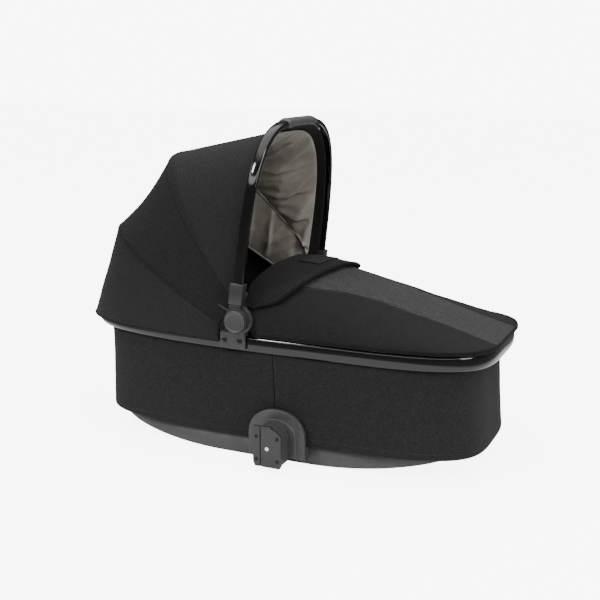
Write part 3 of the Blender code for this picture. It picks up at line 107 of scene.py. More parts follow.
def feed(tree, node, values):
    """Fills a node's inputs. Each value is a socket to link or a value to set."""
    for target, value in values.items():
        if isinstance(value, bpy.types.NodeSocket):
            tree.links.new(value, node.inputs[target])
        else:
            node.inputs[target].default_value = value


def add(tree, kind, values=None, out=0, **settings):
    """Adds a node and gives one of its outputs, or all of them where out is None."""
    node = tree.nodes.new(kind)
    for setting, value in settings.items():
        setattr(node, setting, value)
    feed(tree, node, values or {})
    return node.outputs if out is None else node.outputs[out]


def maths(tree, operation, *values):
    """One arithmetic node on sockets or numbers."""
    return add(tree, "ShaderNodeMath", dict(enumerate(values)), operation=operation)


def ramp(tree, value, low, high, low_out=0.0, high_out=1.0):
    """Maps low..high of a value smoothly to two numbers."""
    return add(tree, "ShaderNodeMapRange", {
        "Value": value, "From Min": low, "From Max": high, "To Min": low_out, "To Max": high_out,
    }, interpolation_type="SMOOTHSTEP")


def place_in(tree, space):
    """The place that is being shaded, in one of the coordinate systems."""
    return add(tree, "ShaderNodeTexCoord", out=space)


def new_material(name):
    made = bpy.data.materials.new(name)
    made.use_nodes = True
    return made, made.node_tree, made.node_tree.nodes["Principled BSDF"]


floor_corners = ((-1, -1), (1, -1), (1, 1), (-1, 1))
floor_mesh = bpy.data.meshes.new("studio_floor")
floor_mesh.from_pydata(
    [(FLOOR_HALF_SIZE * x, FLOOR_HALF_SIZE * y, 0.0) for x, y in floor_corners], [], [(0, 1, 2, 3)])
floor = linked("studio_floor", floor_mesh)
floor_paint, tree, shader = new_material("studio_floor")
from_middle = add(tree, "ShaderNodeVectorMath", {0: place_in(tree, "Object")}, out="Value",
                  operation="LENGTH")
table = ramp(tree, from_middle, TABLE_RADIUS, TABLE_RADIUS + TABLE_FADE, TABLE_SHADE,
             ROOM_FLOOR_SHADE)
seen = add(tree, "ShaderNodeLightPath", out="Is Camera Ray")
feed(tree, shader, {
    "Base Color": add(tree, "ShaderNodeMix", {"Factor": seen, 2: table, 3: TABLE_SHADE}),
    "Roughness": 0.9, "Specular IOR Level": 0.0,
    "Emission Color": WHITE, "Emission Strength": maths(tree, "MULTIPLY", seen, FLOOR_GLOW),
})
floor_mesh.materials.append(floor_paint)

for light_name, spot, size, power in LIGHTS:
    light = linked(light_name, bpy.data.lights.new(light_name, "AREA"))
    light.data.shape = "SQUARE"
    light.data.size = size
    light.data.energy = power
    light.location = spot
    light.rotation_euler = (Vector(spot) - LIGHTS_AIM).to_track_quat("Z", "Y").to_euler()

world = bpy.data.worlds.new("studio")
world.use_nodes = True
bpy.context.scene.world = world
sky = world.node_tree
looking = add(sky, "ShaderNodeSeparateXYZ", {"Vector": place_in(sky, "Generated")}, out=None)
overhead = ramp(sky, looking["Z"], SKY_FROM, SKY_FULL, SKY_ROOM, SKY_TOP)
strip_foot = ramp(sky, looking["Z"], STRIP_LOW - STRIP_SOFT, STRIP_LOW, 0.0, STRIP_LIGHT)
strip_head = ramp(sky, looking["Z"], STRIP_HIGH, STRIP_HIGH + STRIP_SOFT, 1.0, 0.0)
strip_side = ramp(sky, looking["Y"], STRIP_SIDE_FULL, STRIP_SIDE_END, 1.0, 0.0)
strip = maths(sky, "MULTIPLY", maths(sky, "MULTIPLY", strip_foot, strip_head), strip_side)
room = sky.nodes["Background"]
feed(sky, room, {"Strength": maths(sky, "ADD", overhead, strip), "Color": WHITE})
either = add(sky, "ShaderNodeMixShader", {
    "Fac": add(sky, "ShaderNodeLightPath", out="Is Camera Ray"), 1: room.outputs["Background"],
    2: add(sky, "ShaderNodeBackground", {"Color": WHITE, "Strength": SKY_SEEN}),
})
feed(sky, sky.nodes["World Output"], {"Surface": either})


# Base tray. A thin injection-moulded tray under the tub, flat in the middle and curved up to
# both ends so that the carrycot can rock. Its plastic is dark grey with a fine spark-eroded grain.
TRAY_CENTRE_X = 0.002
TRAY_HALF_LENGTH = 0.362
TRAY_HALF_WIDTH = 0.1506
TRAY_POWER = 3.05
TRAY_FLAT_HALF = 0.095
TRAY_TOP = 0.0397
TRAY_END_DROP = 0.0050
TRAY_ROCKER_POWER = 1.84
TRAY_EDGE_ROUND = 0.005
TRAY_WALL = 0.0028
TRAY_LIP = 0.0008
TRAY_FLOOR_INSETS = (0.02, 0.05, 0.08, 0.11, 0.135)
TRAY_COUNT = 192
FINENESS = 8
GRAIN_SCALE = 1800.0
GRAIN_DEPTH = 0.00012


def power_point(angle, power):
    """Unit coordinates on a superellipse."""
    c, s = math.cos(angle), math.sin(angle)
    return math.copysign(abs(c) ** (2 / power), c), math.copysign(abs(s) ** (2 / power), s)


def blend(first, last, share):
    return first + (last - first) * share


def distances(path):
    """How far along a path each of its points is."""
    steps = np.linalg.norm(np.diff(path, axis=0), axis=1)
    return np.concatenate([[0.0], np.cumsum(steps)])


def evenly(points, count, closed=False):
    """The same path as an array of evenly spaced points."""
    path = np.array([tuple(p) for p in points], float)
    if closed:
        path = np.vstack([path, path[:1]])
    along = distances(path)
    wanted = np.linspace(0.0, along[-1], count + 1 if closed else count)[:count]
    return np.stack([np.interp(wanted, along, path[:, k]) for k in range(3)], axis=-1)


def quarter_turn(radius, steps=5):
    """Inset and height pairs down a rounded edge, without its first."""
    turns = [math.pi / 2 * step / steps for step in range(1, steps + 1)]
    return [(radius * (1 - math.cos(turn)), radius * (1 - math.sin(turn))) for turn in turns]


def noise_value(point, size, seed=0.0):
    """Smooth noise between about -1 and 1, the same on every run."""
    return noise.noise(Vector(point) / size + Vector((seed, seed * 1.7, seed * 0.6)))


def grid_faces(count, width, rows_closed=False, columns_closed=False):
    """The quads between rows of points."""
    faces = []
    for i in range(count if rows_closed else count - 1):
        low, high = i * width, (i + 1) % count * width
        for j in range(width if columns_closed else width - 1):
            k = (j + 1) % width
            faces.append((low + j, low + k, high + k, high + j))
    return faces


def sheet_mesh(name, rows, centre, wrap=False, close_last=False):
    """A surface through rows of points that faces away from centre, with a UV map in metres."""
    grid = np.array(rows, float)
    count, width = grid.shape[:2]
    looped = np.concatenate([grid, grid[:, :1]], axis=1) if wrap else grid
    u = distances(looped[count // 2])
    steps = np.linalg.norm(np.diff(looped, axis=0), axis=2)
    v = np.concatenate([[0.0], np.cumsum(steps, axis=0).mean(axis=1)])
    corners = [
        (u[j + b], v[i + a]) for i in range(count - 1) for j in range(looped.shape[1] - 1)
        for a, b in ((0, 0), (0, 1), (1, 1), (1, 0))
    ]
    faces = grid_faces(count, width, columns_closed=wrap)
    if close_last:
        faces.append(tuple((count - 1) * width + j for j in range(width)))
    mesh = bpy.data.meshes.new(name)
    mesh.from_pydata([tuple(p) for p in grid.reshape(-1, 3)], [], faces)
    flat = np.zeros((len(mesh.loops), 2), np.float32)
    flat[: len(corners)] = corners
    mesh.uv_layers.new(name="UVMap").data.foreach_set("uv", flat.ravel())
    normals = np.zeros(len(mesh.polygons) * 3)
    centres = np.zeros(len(mesh.polygons) * 3)
    mesh.polygons.foreach_get("normal", normals)
    mesh.polygons.foreach_get("center", centres)
    if (normals.reshape(-1, 3) * (centres.reshape(-1, 3) - np.array(centre))).sum() < 0:
        mesh.flip_normals()
    mesh.shade_smooth()
    return mesh


def piece(name, mesh, finish, body, slot, *nodes):
    """A finished piece in its material, riding on a body in place of CAD nodes."""
    made = linked(name, mesh)
    mesh.materials.clear()
    mesh.materials.append(finish)
    if body:
        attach(made, body)
    if nodes:
        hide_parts(*nodes)
    return made


def wall(obj, thickness, offset=-1.0):
    """Gives a surface its thickness: inwards, or outwards where offset is 1."""
    solid = obj.modifiers.new("wall", "SOLIDIFY")
    solid.thickness = thickness
    solid.offset = offset


def node_group(name, family, inputs, outputs):
    """An empty node group: its tree, its given inputs and its result node."""
    tree = bpy.data.node_groups.new(name, f"{family}NodeTree")
    for in_out, sockets in (("INPUT", inputs), ("OUTPUT", outputs)):
        for socket_name, kind in sockets.items():
            number = isinstance(kind, float)
            socket = tree.interface.new_socket(
                socket_name, in_out=in_out, socket_type=f"NodeSocket{'Float' if number else kind}")
            if number:
                socket.default_value = kind
    given = tree.nodes.new("NodeGroupInput").outputs
    return tree, given, tree.nodes.new("NodeGroupOutput")


def use_group(tree, group, vector, **values):
    return add(tree, "ShaderNodeGroup", {"Vector": vector, **values}, out=None, node_tree=group)


def noise_node(tree, vector, scale, detail=3.0, roughness=0.55):
    return add(tree, "ShaderNodeTexNoise", {
        "Vector": vector, "Scale": scale, "Detail": detail, "Roughness": roughness,
    })


def between(tree, share, first, second):
    """A colour between two, by a mask."""
    ends = [(*end, 1.0) if isinstance(end, tuple) else end for end in (first, second)]
    return add(tree, "ShaderNodeMix", {"Factor": share, 6: ends[0], 7: ends[1]}, out=2,
               data_type="RGBA")


def bump(tree, height, strength, distance, **normal):
    """The normal of a surface raised by a height."""
    return add(tree, "ShaderNodeBump", {
        "Strength": strength, "Distance": distance, "Height": height, **normal,
    })


# The grain that a spark-eroded mould leaves, with faint handling marks on it.
grain, given, result = node_group("moulded_grain", "Shader", {"Vector": "Vector", "Scale": 1.0},
                                  {"Height": "Float", "Handled": "Float"})
smears = noise_node(grain, given["Vector"], 14.0, detail=4.0)
streaks = noise_node(grain, given["Vector"], 90.0, detail=2.0)
feed(grain, result, {
    "Height": noise_node(grain, given["Vector"], given["Scale"], detail=2.0),
    "Handled": maths(grain, "MULTIPLY_ADD", streaks, 0.35, maths(grain, "MULTIPLY", smears, 0.65)),
})


def moulded_plastic(name, dark, light, rough_low, rough_high):
    """Textured injection-moulded plastic, a little shinier where it is handled."""
    made, tree, shader = new_material(name)
    marks = use_group(tree, grain, place_in(tree, "Object"), Scale=GRAIN_SCALE)
    feed(tree, shader, {
        "Base Color": between(tree, ramp(tree, marks["Handled"], 0.3, 0.7), dark, light),
        "Roughness": ramp(tree, marks["Handled"], 0.35, 0.65, rough_high, rough_low),
        "Normal": bump(tree, marks["Height"], 0.35, GRAIN_DEPTH),
    })
    return made


TRAY_PLASTIC = moulded_plastic("tray_plastic", (0.040, 0.040, 0.041), (0.048, 0.048, 0.049),
                               0.50, 0.62)


def tray_floor(x):
    past = max(0.0, abs(x - TRAY_CENTRE_X) - TRAY_FLAT_HALF) / (TRAY_HALF_LENGTH - TRAY_FLAT_HALF)
    return (TRAY_TOP - TRAY_END_DROP) * past**TRAY_ROCKER_POWER


def tray_ring(inset, lift):
    """Points round the tray, at a lift above its curved floor or, without one, at its top."""
    half_length, half_width = TRAY_HALF_LENGTH - inset, TRAY_HALF_WIDTH - inset
    fine_ring = []
    for i in range(TRAY_COUNT * FINENESS):
        c, s = power_point(2 * math.pi * i / (TRAY_COUNT * FINENESS), TRAY_POWER)
        fine_ring.append((TRAY_CENTRE_X + half_length * c, half_width * s, 0.0))
    ring = evenly(fine_ring, TRAY_COUNT, closed=True)
    for point in ring:
        if lift is None:
            point[2] = TRAY_TOP
        else:
            point[2] = min(TRAY_TOP - TRAY_WALL - TRAY_LIP, tray_floor(point[0]) + lift)
    return ring


tray_steps = [(0.0, None), (0.0, TRAY_EDGE_ROUND), *quarter_turn(TRAY_EDGE_ROUND)]
tray_rows = [tray_ring(*step) for step in tray_steps]
tray_rows += [tray_ring(inset, 0.0) for inset in TRAY_FLOOR_INSETS]
tray_mesh = sheet_mesh("base_tray_shell", tray_rows, (0, 0, TRAY_TOP), wrap=True, close_last=True)
tray = piece("base_tray_shell", tray_mesh, TRAY_PLASTIC, "base", "tray_plastic", "base_tray")
wall(tray, TRAY_WALL)


# Inner frame. A flat hardboard base, two flat side posts and two bent stays of dark plastic
# stand inside the cloth and hold the rim up. They are hidden once the tub is dressed.
def board_material():
    """Pressed wood fibre."""
    made, tree, shader = new_material("hardboard")
    fibre = noise_node(tree, place_in(tree, "Object"), 260.0, detail=5.0)
    feed(tree, shader, {
        "Base Color": between(tree, fibre, (0.20, 0.145, 0.09), (0.33, 0.25, 0.16)),
        "Roughness": 0.7, "Normal": bump(tree, fibre, 0.3, 0.0002),
    })
    return made


def steel_material(name, colour, rough_low, rough_high):
    """Plated steel with fine scratches."""
    made, tree, shader = new_material(name)
    marks = use_group(tree, grain, place_in(tree, "Object"), Scale=900.0)
    worn = tuple(0.8 * c for c in colour)
    feed(tree, shader, {
        "Metallic": 1.0, "Base Color": between(tree, marks["Handled"], worn, colour),
        "Roughness": ramp(tree, marks["Handled"], 0.3, 0.7, rough_low, rough_high),
        "Normal": bump(tree, marks["Height"], 0.15, 0.00005),
    })
    return made


PLATED_STEEL = steel_material("plated_steel", (0.55, 0.55, 0.56), 0.25, 0.4)
STAY_PLASTIC = moulded_plastic("stay_plastic", (0.022, 0.022, 0.023), (0.03, 0.03, 0.031), 0.5, 0.6)


def finish_node(node, material):
    """Gives a CAD node that stays as it is its material."""
    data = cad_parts[node].data
    data.materials.clear()
    data.materials.append(material)


finish_node("base_board", board_material())
for node in ("head_stay", "foot_stay", "side_post_left", "side_post_right"):
    finish_node(node, STAY_PLASTIC)


# Rim rail. A hollow rail of high-gloss black plastic runs right round the top of the tub. It is
# made in one piece, polished, and everything else is fixed to it.
RIM_LENGTH = 0.820
RIM_WIDTH = 0.354
RIM_UNDERSIDE = 0.205
RIM_HEIGHT = 0.030
RIM_DEPTH = 0.020
RIM_TOP = RIM_UNDERSIDE + RIM_HEIGHT
WIDEST_X = 0.100
WIDEST_X_BELOW = 0.071
HEAD_POWERS = (2.96, 4.46)
FOOT_POWERS = (3.94, 3.78)
RIM_COUNT = 288
RIM_SECTION_COUNT = 40
RIM_SECTION_POWER = 3.2


def end_shape(end, inset, depth_share):
    """Where the tub is widest, its reach from there to an end, and how square that end is."""
    widest = blend(WIDEST_X, WIDEST_X_BELOW, depth_share)
    powers = FOOT_POWERS if end > 0 else HEAD_POWERS
    return widest, RIM_LENGTH / 2 - inset - end * widest, blend(*powers, depth_share)


def plan(side_inset, head_inset, foot_inset, z, depth_share=0.0, count=RIM_COUNT):
    """Points round the tub at height z, from the middle of the foot end."""
    half_width = RIM_WIDTH / 2 - side_inset
    ring = []
    for i in range(count * FINENESS):
        angle = 2 * math.pi * i / (count * FINENESS)
        end, inset = (1, foot_inset) if math.cos(angle) > 0 else (-1, head_inset)
        widest, reach, power = end_shape(end, inset, depth_share)
        c, s = power_point(angle, power)
        ring.append((widest + reach * c, half_width * s, z))
    return evenly(ring, count, closed=True)


def gloss_black_material(name):
    """High-gloss black plastic: polished, with the slight waviness of a moulding and dust."""
    made, tree, shader = new_material(name)
    place = place_in(tree, "Object")
    marks = use_group(tree, grain, place, Scale=420.0)
    feed(tree, shader, {
        "Base Color": (0.003, 0.003, 0.0032, 1.0), "IOR": 1.47,
        "Roughness": ramp(tree, marks["Handled"], 0.35, 0.7, 0.045, 0.11),
        "Normal": bump(tree, noise_node(tree, place, 22.0, detail=1.0), 0.12, 0.0006),
    })
    return made


GLOSS_BLACK = gloss_black_material("gloss_black")


def unit(vectors):
    """The same directions, each one long."""
    return vectors / np.linalg.norm(vectors, axis=-1, keepdims=True)


def ring_outward(path):
    """The level direction square to a closed level path at each point, away from its middle."""
    ahead = np.roll(path, -1, axis=0) - np.roll(path, 1, axis=0)
    return unit(np.stack([ahead[:, 1], -ahead[:, 0], np.zeros(len(path))], axis=1))


def section_outline(width, height, power, count):
    outline = [power_point(2 * math.pi * i / count, power) for i in range(count)]
    return [(width / 2 * a, height / 2 * b) for a, b in outline]


def closed_up(mesh, weld=0.0, cap=False):
    """Welds a mesh's doubled points or caps its hole, and turns all its faces outward."""
    bm = bmesh.new()
    bm.from_mesh(mesh)
    if weld:
        bmesh.ops.remove_doubles(bm, verts=bm.verts, dist=weld)
    if cap:
        bmesh.ops.contextual_create(bm, geom=[edge for edge in bm.edges if edge.is_boundary])
    bmesh.ops.recalc_face_normals(bm, faces=bm.faces)
    bm.to_mesh(mesh)
    bm.free()
    return mesh


def tube_mesh(name, path, outward, rise, outline, closed=False):
    """A rail of one section along a path, with its ends closed unless the path is."""
    count, width = len(path), len(outline)
    points = [path[i] + outward[i] * a + rise[i] * b for i in range(count) for a, b in outline]
    faces = grid_faces(count, width, rows_closed=closed, columns_closed=True)
    if not closed:
        faces.append(tuple(range(width))[::-1])
        faces.append(tuple((count - 1) * width + j for j in range(width)))
    mesh = bpy.data.meshes.new(name)
    mesh.from_pydata([tuple(p) for p in points], [], faces)
    closed_up(mesh).shade_smooth()
    return mesh


rim_path = plan(RIM_DEPTH / 2, RIM_DEPTH / 2, RIM_DEPTH / 2, RIM_UNDERSIDE + RIM_HEIGHT / 2)
rim_section = section_outline(RIM_DEPTH, RIM_HEIGHT, RIM_SECTION_POWER, RIM_SECTION_COUNT)
rim_mesh = tube_mesh("rim_gloss_rail", rim_path, ring_outward(rim_path),
                     np.tile((0.0, 0.0, 1.0), (RIM_COUNT, 1)), rim_section, closed=True)
piece("rim_gloss_rail", rim_mesh, GLOSS_BLACK, "base", "rim", "rim_rail")


# Tub cover. Dark woven cloth over thin foam, sewn into a skirt with one seam down the middle of
# each side, stretched from under the rim to a turned hem that is drawn in under the floor.
COVER_INSETS = (0.0040, 0.0373, 0.0250)
COVER_LOW_INSETS = (0.0140, 0.0454, 0.0136)
COVER_TOP = 0.2047
COVER_LOW = 0.040
COVER_TOP_SHARE = 0.3
COVER_HEM_RADIUS = 0.008
COVER_FLOOR_INSETS = (0.03, 0.06, 0.10, 0.14)
COVER_WAIST = 0.0015
COVER_SET_IN = 0.0006
COVER_CLOTH = 0.0022
COVER_LEVELS = 26
COVER_SEAM_X = 0.034
COVER_SEAM_HALF_WIDTH = 0.0022
COVER_SEAM_DEPTH = 0.0011
COVER_SEAM_SWELL = 0.0003
COVER_PUCKER = 0.0011
CLOTH_TINT = (0.6, 0.6, 0.62)

# The threads of a woven cloth, as a height and a shade, from a place on it in metres.
weave, given, result = node_group(
    "woven_threads", "Shader", {"Vector": "Vector", "Pitch": 0.0011, "Twill": 0.0},
    {"Height": "Float", "Slub": "Float"})


def thread_wave(turns):
    return maths(weave, "SINE", maths(weave, "MULTIPLY", turns, 2 * math.pi))


split = add(weave, "ShaderNodeSeparateXYZ", {"Vector": given["Vector"]}, out=None)
warp, weft = (maths(weave, "DIVIDE", split[axis], given["Pitch"]) for axis in "XY")
stretched = add(weave, "ShaderNodeVectorMath", {0: given["Vector"], 1: (1.0, 0.08, 1.0)},
                operation="MULTIPLY")
feed(weave, result, {
    "Height": add(weave, "ShaderNodeMix", {
        "Factor": given["Twill"], 2: maths(weave, "MULTIPLY", thread_wave(warp), thread_wave(weft)),
        3: thread_wave(maths(weave, "ADD", warp, weft)),
    }),
    "Slub": noise_node(weave, stretched, 900.0, detail=2.0),
})

# Fibres of two shades spun together, as a mask.
melange, given, result = node_group(
    "two_tone_fibres", "Shader", {"Vector": "Vector", "Size": 420.0}, {"Mask": "Float"})
flecks = noise_node(melange, given["Vector"], given["Size"], roughness=0.7)
drift = noise_node(melange, given["Vector"], 60.0, detail=2.0)
feed(melange, result, {
    "Mask": ramp(melange, maths(melange, "MULTIPLY_ADD", drift, 0.1, flecks), 0.42, 0.72),
})


def cloth_shader(tree, shader, colour, roughness, normal, gloss=0.12, sheen=0.04, tint=CLOTH_TINT):
    feed(tree, shader, {
        "Base Color": colour, "Roughness": roughness, "Specular IOR Level": gloss,
        "Sheen Weight": sheen, "Sheen Tint": (*tint, 1.0), "Normal": normal,
    })


def woven_cloth(name, dark, light, pitch=0.0011, twill=0.0, fleck_size=420.0, roughness=0.92,
                sheen=0.04, depth=0.00025, strength=0.5):
    """Woven cloth: threads from its UV map in metres, with flecks, slubs and a soft nap."""
    made, tree, shader = new_material(name)
    threads = use_group(tree, weave, place_in(tree, "UV"), Pitch=pitch, Twill=twill)
    fibres = use_group(tree, melange, place_in(tree, "Object"), Size=fleck_size)
    shade = maths(tree, "MULTIPLY_ADD", threads["Height"], 0.18,
                  maths(tree, "MULTIPLY_ADD", threads["Slub"], 0.35, fibres["Mask"]))
    height = maths(tree, "MULTIPLY_ADD", threads["Slub"], 0.6, threads["Height"])
    cloth_shader(tree, shader, between(tree, ramp(tree, shade, 0.1, 1.1), dark, light), roughness,
                 bump(tree, height, strength, depth), sheen=sheen)
    return made


def tub_cloth():
    """The woven cloth, with its two side seams sunk and darkened by painted shade."""
    made = woven_cloth("tub_cloth", (0.0098, 0.0098, 0.0101), (0.0178, 0.0178, 0.0183))
    tree = made.node_tree
    shader = tree.nodes["Principled BSDF"]
    place = add(tree, "ShaderNodeSeparateXYZ", {"Vector": place_in(tree, "Object")}, out="X")
    off = maths(tree, "ABSOLUTE", maths(tree, "SUBTRACT", place, COVER_SEAM_X))
    woven, threads = (shader.inputs[name].links[0].from_socket for name in ("Base Color", "Normal"))
    flat = ramp(tree, off, 0.0002, 0.0013)
    # Painted shade: the cloth turns near black along the sunken seam line.
    feed(tree, shader, {
        "Base Color": between(tree, flat, (0.0012, 0.0012, 0.0013), woven),
        "Normal": bump(tree, ramp(tree, off, 0.0, 0.0042), 0.9, 0.0016, Normal=threads),
    })
    return made


def bell(value, middle, width):
    """1 at the middle, and less the further away on either side."""
    return math.exp(-(((value - middle) / width) ** 2))


def cover_row(share):
    """One level of the skirt, from its top at 0 to the turn of its hem at 1."""
    waist = COVER_WAIST * math.sin(math.pi * share)
    insets = [blend(top, low, share) + waist for top, low in zip(COVER_INSETS, COVER_LOW_INSETS)]
    z = blend(COVER_TOP, COVER_LOW + COVER_HEM_RADIUS, share)
    ring = plan(*insets, z, blend(COVER_TOP_SHARE, 1.0, share))
    side = ring_outward(ring)
    held = math.sin(math.pi * min(1.0, 1.15 * share + 0.02)) ** 0.5
    for i, (x, y, _) in enumerate(ring):
        seam = COVER_SEAM_DEPTH * bell(x, COVER_SEAM_X, COVER_SEAM_HALF_WIDTH)
        beside = COVER_SEAM_SWELL * bell(abs(x - COVER_SEAM_X), 0.006, 0.004)
        soft = (noise_value((x * 0.7, y * 0.7, z * 1.6), 0.085, 3.0)
                + 0.5 * noise_value((x, y, z * 0.5), 0.03, 8.0))
        pulled = noise_value((x, y, 0.0), 0.016, 5.0) * math.exp(-share / 0.09)
        move = COVER_PUCKER * (soft * held + 0.5 * pulled) - seam + beside
        ring[i] += side[i] * (move - COVER_SET_IN)
    return ring


cover_rows = [cover_row(step / (COVER_LEVELS - 1)) for step in range(COVER_LEVELS)]
low_insets = [inset + COVER_SET_IN for inset in COVER_LOW_INSETS]
hem_steps = [*quarter_turn(COVER_HEM_RADIUS), *((inward, 0.0) for inward in COVER_FLOOR_INSETS)]
for inward, up in hem_steps:
    cover_rows.append(plan(*[inset + inward for inset in low_insets], COVER_LOW + up, 1.0))
cover_mesh = sheet_mesh("tub_cover_cloth", cover_rows, (0, 0, 0.12), wrap=True, close_last=True)
tub_cover = piece("tub_cover_cloth", cover_mesh, tub_cloth(), "base", "body_cloth", "body_cover")
wall(tub_cover, COVER_CLOTH)


# Stitching. Lines of lock stitch in dark thread run beside every seam and hem. A node tree lays
# one rounded stitch at each step of a line, and the result is turned into a plain mesh.
STITCH_PITCH = 0.0042
STITCH_LENGTH = 0.0031
STITCH_THICKNESS = 0.0006
SIDE_STITCH_OFF = 0.0045
HEM_STITCH_UP = 0.006
HEM_STITCH_SHARE = 0.985
STITCH_PROUD = 0.0002


def thread_material(name, colour):
    """Twisted thread."""
    made, tree, shader = new_material(name)
    twist = noise_node(tree, place_in(tree, "Object"), 2600.0, detail=2.0)
    feed(tree, shader, {
        "Base Color": between(tree, twist, tuple(0.7 * c for c in colour), colour),
        "Roughness": 0.55, "Normal": bump(tree, twist, 0.4, 0.0001),
    })
    return made


DARK_THREAD = thread_material("dark_thread", (0.020, 0.020, 0.021))


def end_with_copies(tree, points, model, rotation, material, result):
    """Ends a tree with a copy of a model at each point, as plain mesh in one material."""
    copies = add(tree, "GeometryNodeInstanceOnPoints", {
        "Points": points, "Instance": model, "Rotation": rotation,
    })
    real = add(tree, "GeometryNodeRealizeInstances", {"Geometry": copies})
    feed(tree, result, {
        "Geometry": add(tree, "GeometryNodeSetMaterial", {"Geometry": real, "Material": material}),
    })


stitch_tree, given, result = node_group("run_of_stitches", "Geometry", {
    "Geometry": "Geometry", "Pitch": STITCH_PITCH, "Length": STITCH_LENGTH,
    "Thickness": STITCH_THICKNESS, "Thread": "Material",
}, {"Geometry": "Geometry"})
line = add(stitch_tree, "GeometryNodeMeshToCurve", {"Mesh": given["Geometry"]})
spots = add(stitch_tree, "GeometryNodeResampleCurve", {"Curve": line, "Length": given["Pitch"]},
            mode="LENGTH")
along_line = add(stitch_tree, "FunctionNodeAlignRotationToVector",
                 {"Vector": add(stitch_tree, "GeometryNodeInputTangent")}, axis="X")
bead = add(stitch_tree, "GeometryNodeMeshUVSphere", {"Segments": 6, "Rings": 4, "Radius": 0.5})
stretch = add(stitch_tree, "ShaderNodeCombineXYZ", {
    "X": given["Length"], "Y": given["Thickness"], "Z": given["Thickness"],
})
one_stitch = add(stitch_tree, "GeometryNodeTransform", {"Geometry": bead, "Scale": stretch})
end_with_copies(stitch_tree, spots, one_stitch, along_line, given["Thread"], result)


def evaluated(obj):
    """The plain mesh that an object's modifiers make."""
    graph = bpy.context.evaluated_depsgraph_get()
    return bpy.data.meshes.new_from_object(obj.evaluated_get(graph))


def grown(name, source_mesh, tree, values):
    """The plain mesh that a node tree makes of a source mesh."""
    seed = linked(name + "_source", source_mesh)
    modifier = seed.modifiers.new("grown", "NODES")
    modifier.node_group = tree
    for item in tree.interface.items_tree:
        if item.in_out == "INPUT" and item.name in values:
            modifier[item.identifier] = values[item.name]
    bpy.context.view_layer.update()
    mesh = evaluated(seed)
    seed.modifiers.clear()
    bpy.data.objects.remove(seed)
    mesh.name = name
    mesh.shade_smooth()
    return mesh


def stitched(name, lines, body, slot, thread=DARK_THREAD, **sizes):
    """Stitches along lines of points, as one piece on one body."""
    points, edges = [], []
    for row in lines:
        first = len(points)
        points.extend(tuple(p) for p in row)
        edges.extend((i, i + 1) for i in range(first, len(points) - 1))
    source = bpy.data.meshes.new(name + "_line")
    source.from_pydata(points, edges, [])
    mesh = grown(name, source, stitch_tree, {"Thread": thread, **sizes})
    return piece(name, mesh, thread, body, slot)


def cover_side_line(offset, sign):
    """A line down one side of the skirt, beside the seam."""
    line_points = []
    for row in cover_rows[2:COVER_LEVELS + 3]:
        on_side = row[row[:, 1] * sign > 0]
        near = on_side[np.argsort(np.abs(on_side[:, 0] - COVER_SEAM_X - offset))[:2]]
        point = near.mean(axis=0)
        point[0] = COVER_SEAM_X + offset
        point[1] += sign * STITCH_PROUD
        line_points.append(point)
    return line_points


stitched("tub_side_stitching", [cover_side_line(SIDE_STITCH_OFF, sign) for sign in (-1, 1)], "base",
         "body_cloth")
hem_rise = plan(*[inset - STITCH_PROUD / 2 for inset in low_insets],
                COVER_LOW + COVER_HEM_RADIUS + HEM_STITCH_UP, HEM_STITCH_SHARE)
stitched("tub_hem_stitching", [np.vstack([hem_rise, hem_rise[:1]])], "base", "body_cloth")


# Liner and mattress. A quilted taupe liner is sewn to the inside of the rim, and a flat foam
# mattress in a pale stretch cover lies in it. Its swollen shape comes from a pressure simulation.
LINER_THICKNESS = 0.0016
LINER_FLOOR = 0.0506
LINER_CORNER = 0.010
LINER_CORNER_STEPS = ((0.004, 0.6), (0.010, 0.0), (0.05, 0.0), (0.10, 0.0))
LINER_LOW_INSETS = (0.0262, 0.0700, 0.0380)
LINER_LEVELS = (
    (0.0, 0.0203, 0.0203, 0.0203, 0.234, 0.0),
    (0.18, 0.0213, 0.0545, 0.0430, 0.207, 0.16),
    (1.0, *LINER_LOW_INSETS, LINER_FLOOR + LINER_CORNER, 1.0),
)
LINER_PUFF = 0.0016
LINER_COUNT = 192
LINER_ROWS = 15
MATTRESS_INSETS = (0.0422, 0.0860, 0.0540)
MATTRESS_LOW = 0.0540
MATTRESS_EDGE_TOP = 0.0760
MATTRESS_ROUND = 0.006
MATTRESS_CROWN_STEPS = ((0.05, 0.002), (0.09, 0.003))
MATTRESS_VOXEL = 0.006
MATTRESS_PRESSURE = 4.0
MATTRESS_MOST_MOVE = 0.004
MATTRESS_COUNT = 96
MATTRESS_FRAMES = 20

LINING_CLOTH = woven_cloth("taupe_lining", (0.15, 0.137, 0.118), (0.20, 0.183, 0.160), pitch=0.0009,
                           fleck_size=160.0, roughness=0.5, sheen=0.1, depth=0.0001, strength=0.25)
MATTRESS_CLOTH = woven_cloth("mattress_cloth", (0.52, 0.52, 0.50), (0.66, 0.66, 0.64), pitch=0.0016,
                             roughness=0.85)


def liner_row(share):
    """One level of the liner, from the rim at 0 to the turn into its floor at 1."""
    shares, *columns = zip(*LINER_LEVELS)
    *insets, z, depth = (float(np.interp(share, shares, column)) for column in columns)
    ring = plan(*insets, z, depth, count=LINER_COUNT)
    side = ring_outward(ring)
    puff = LINER_PUFF * math.sin(math.pi * share)
    for i, (x, y, _) in enumerate(ring):
        ring[i] -= side[i] * puff * (0.6 + 0.4 * noise_value((x, y, z), 0.05, 2.0))
    return ring


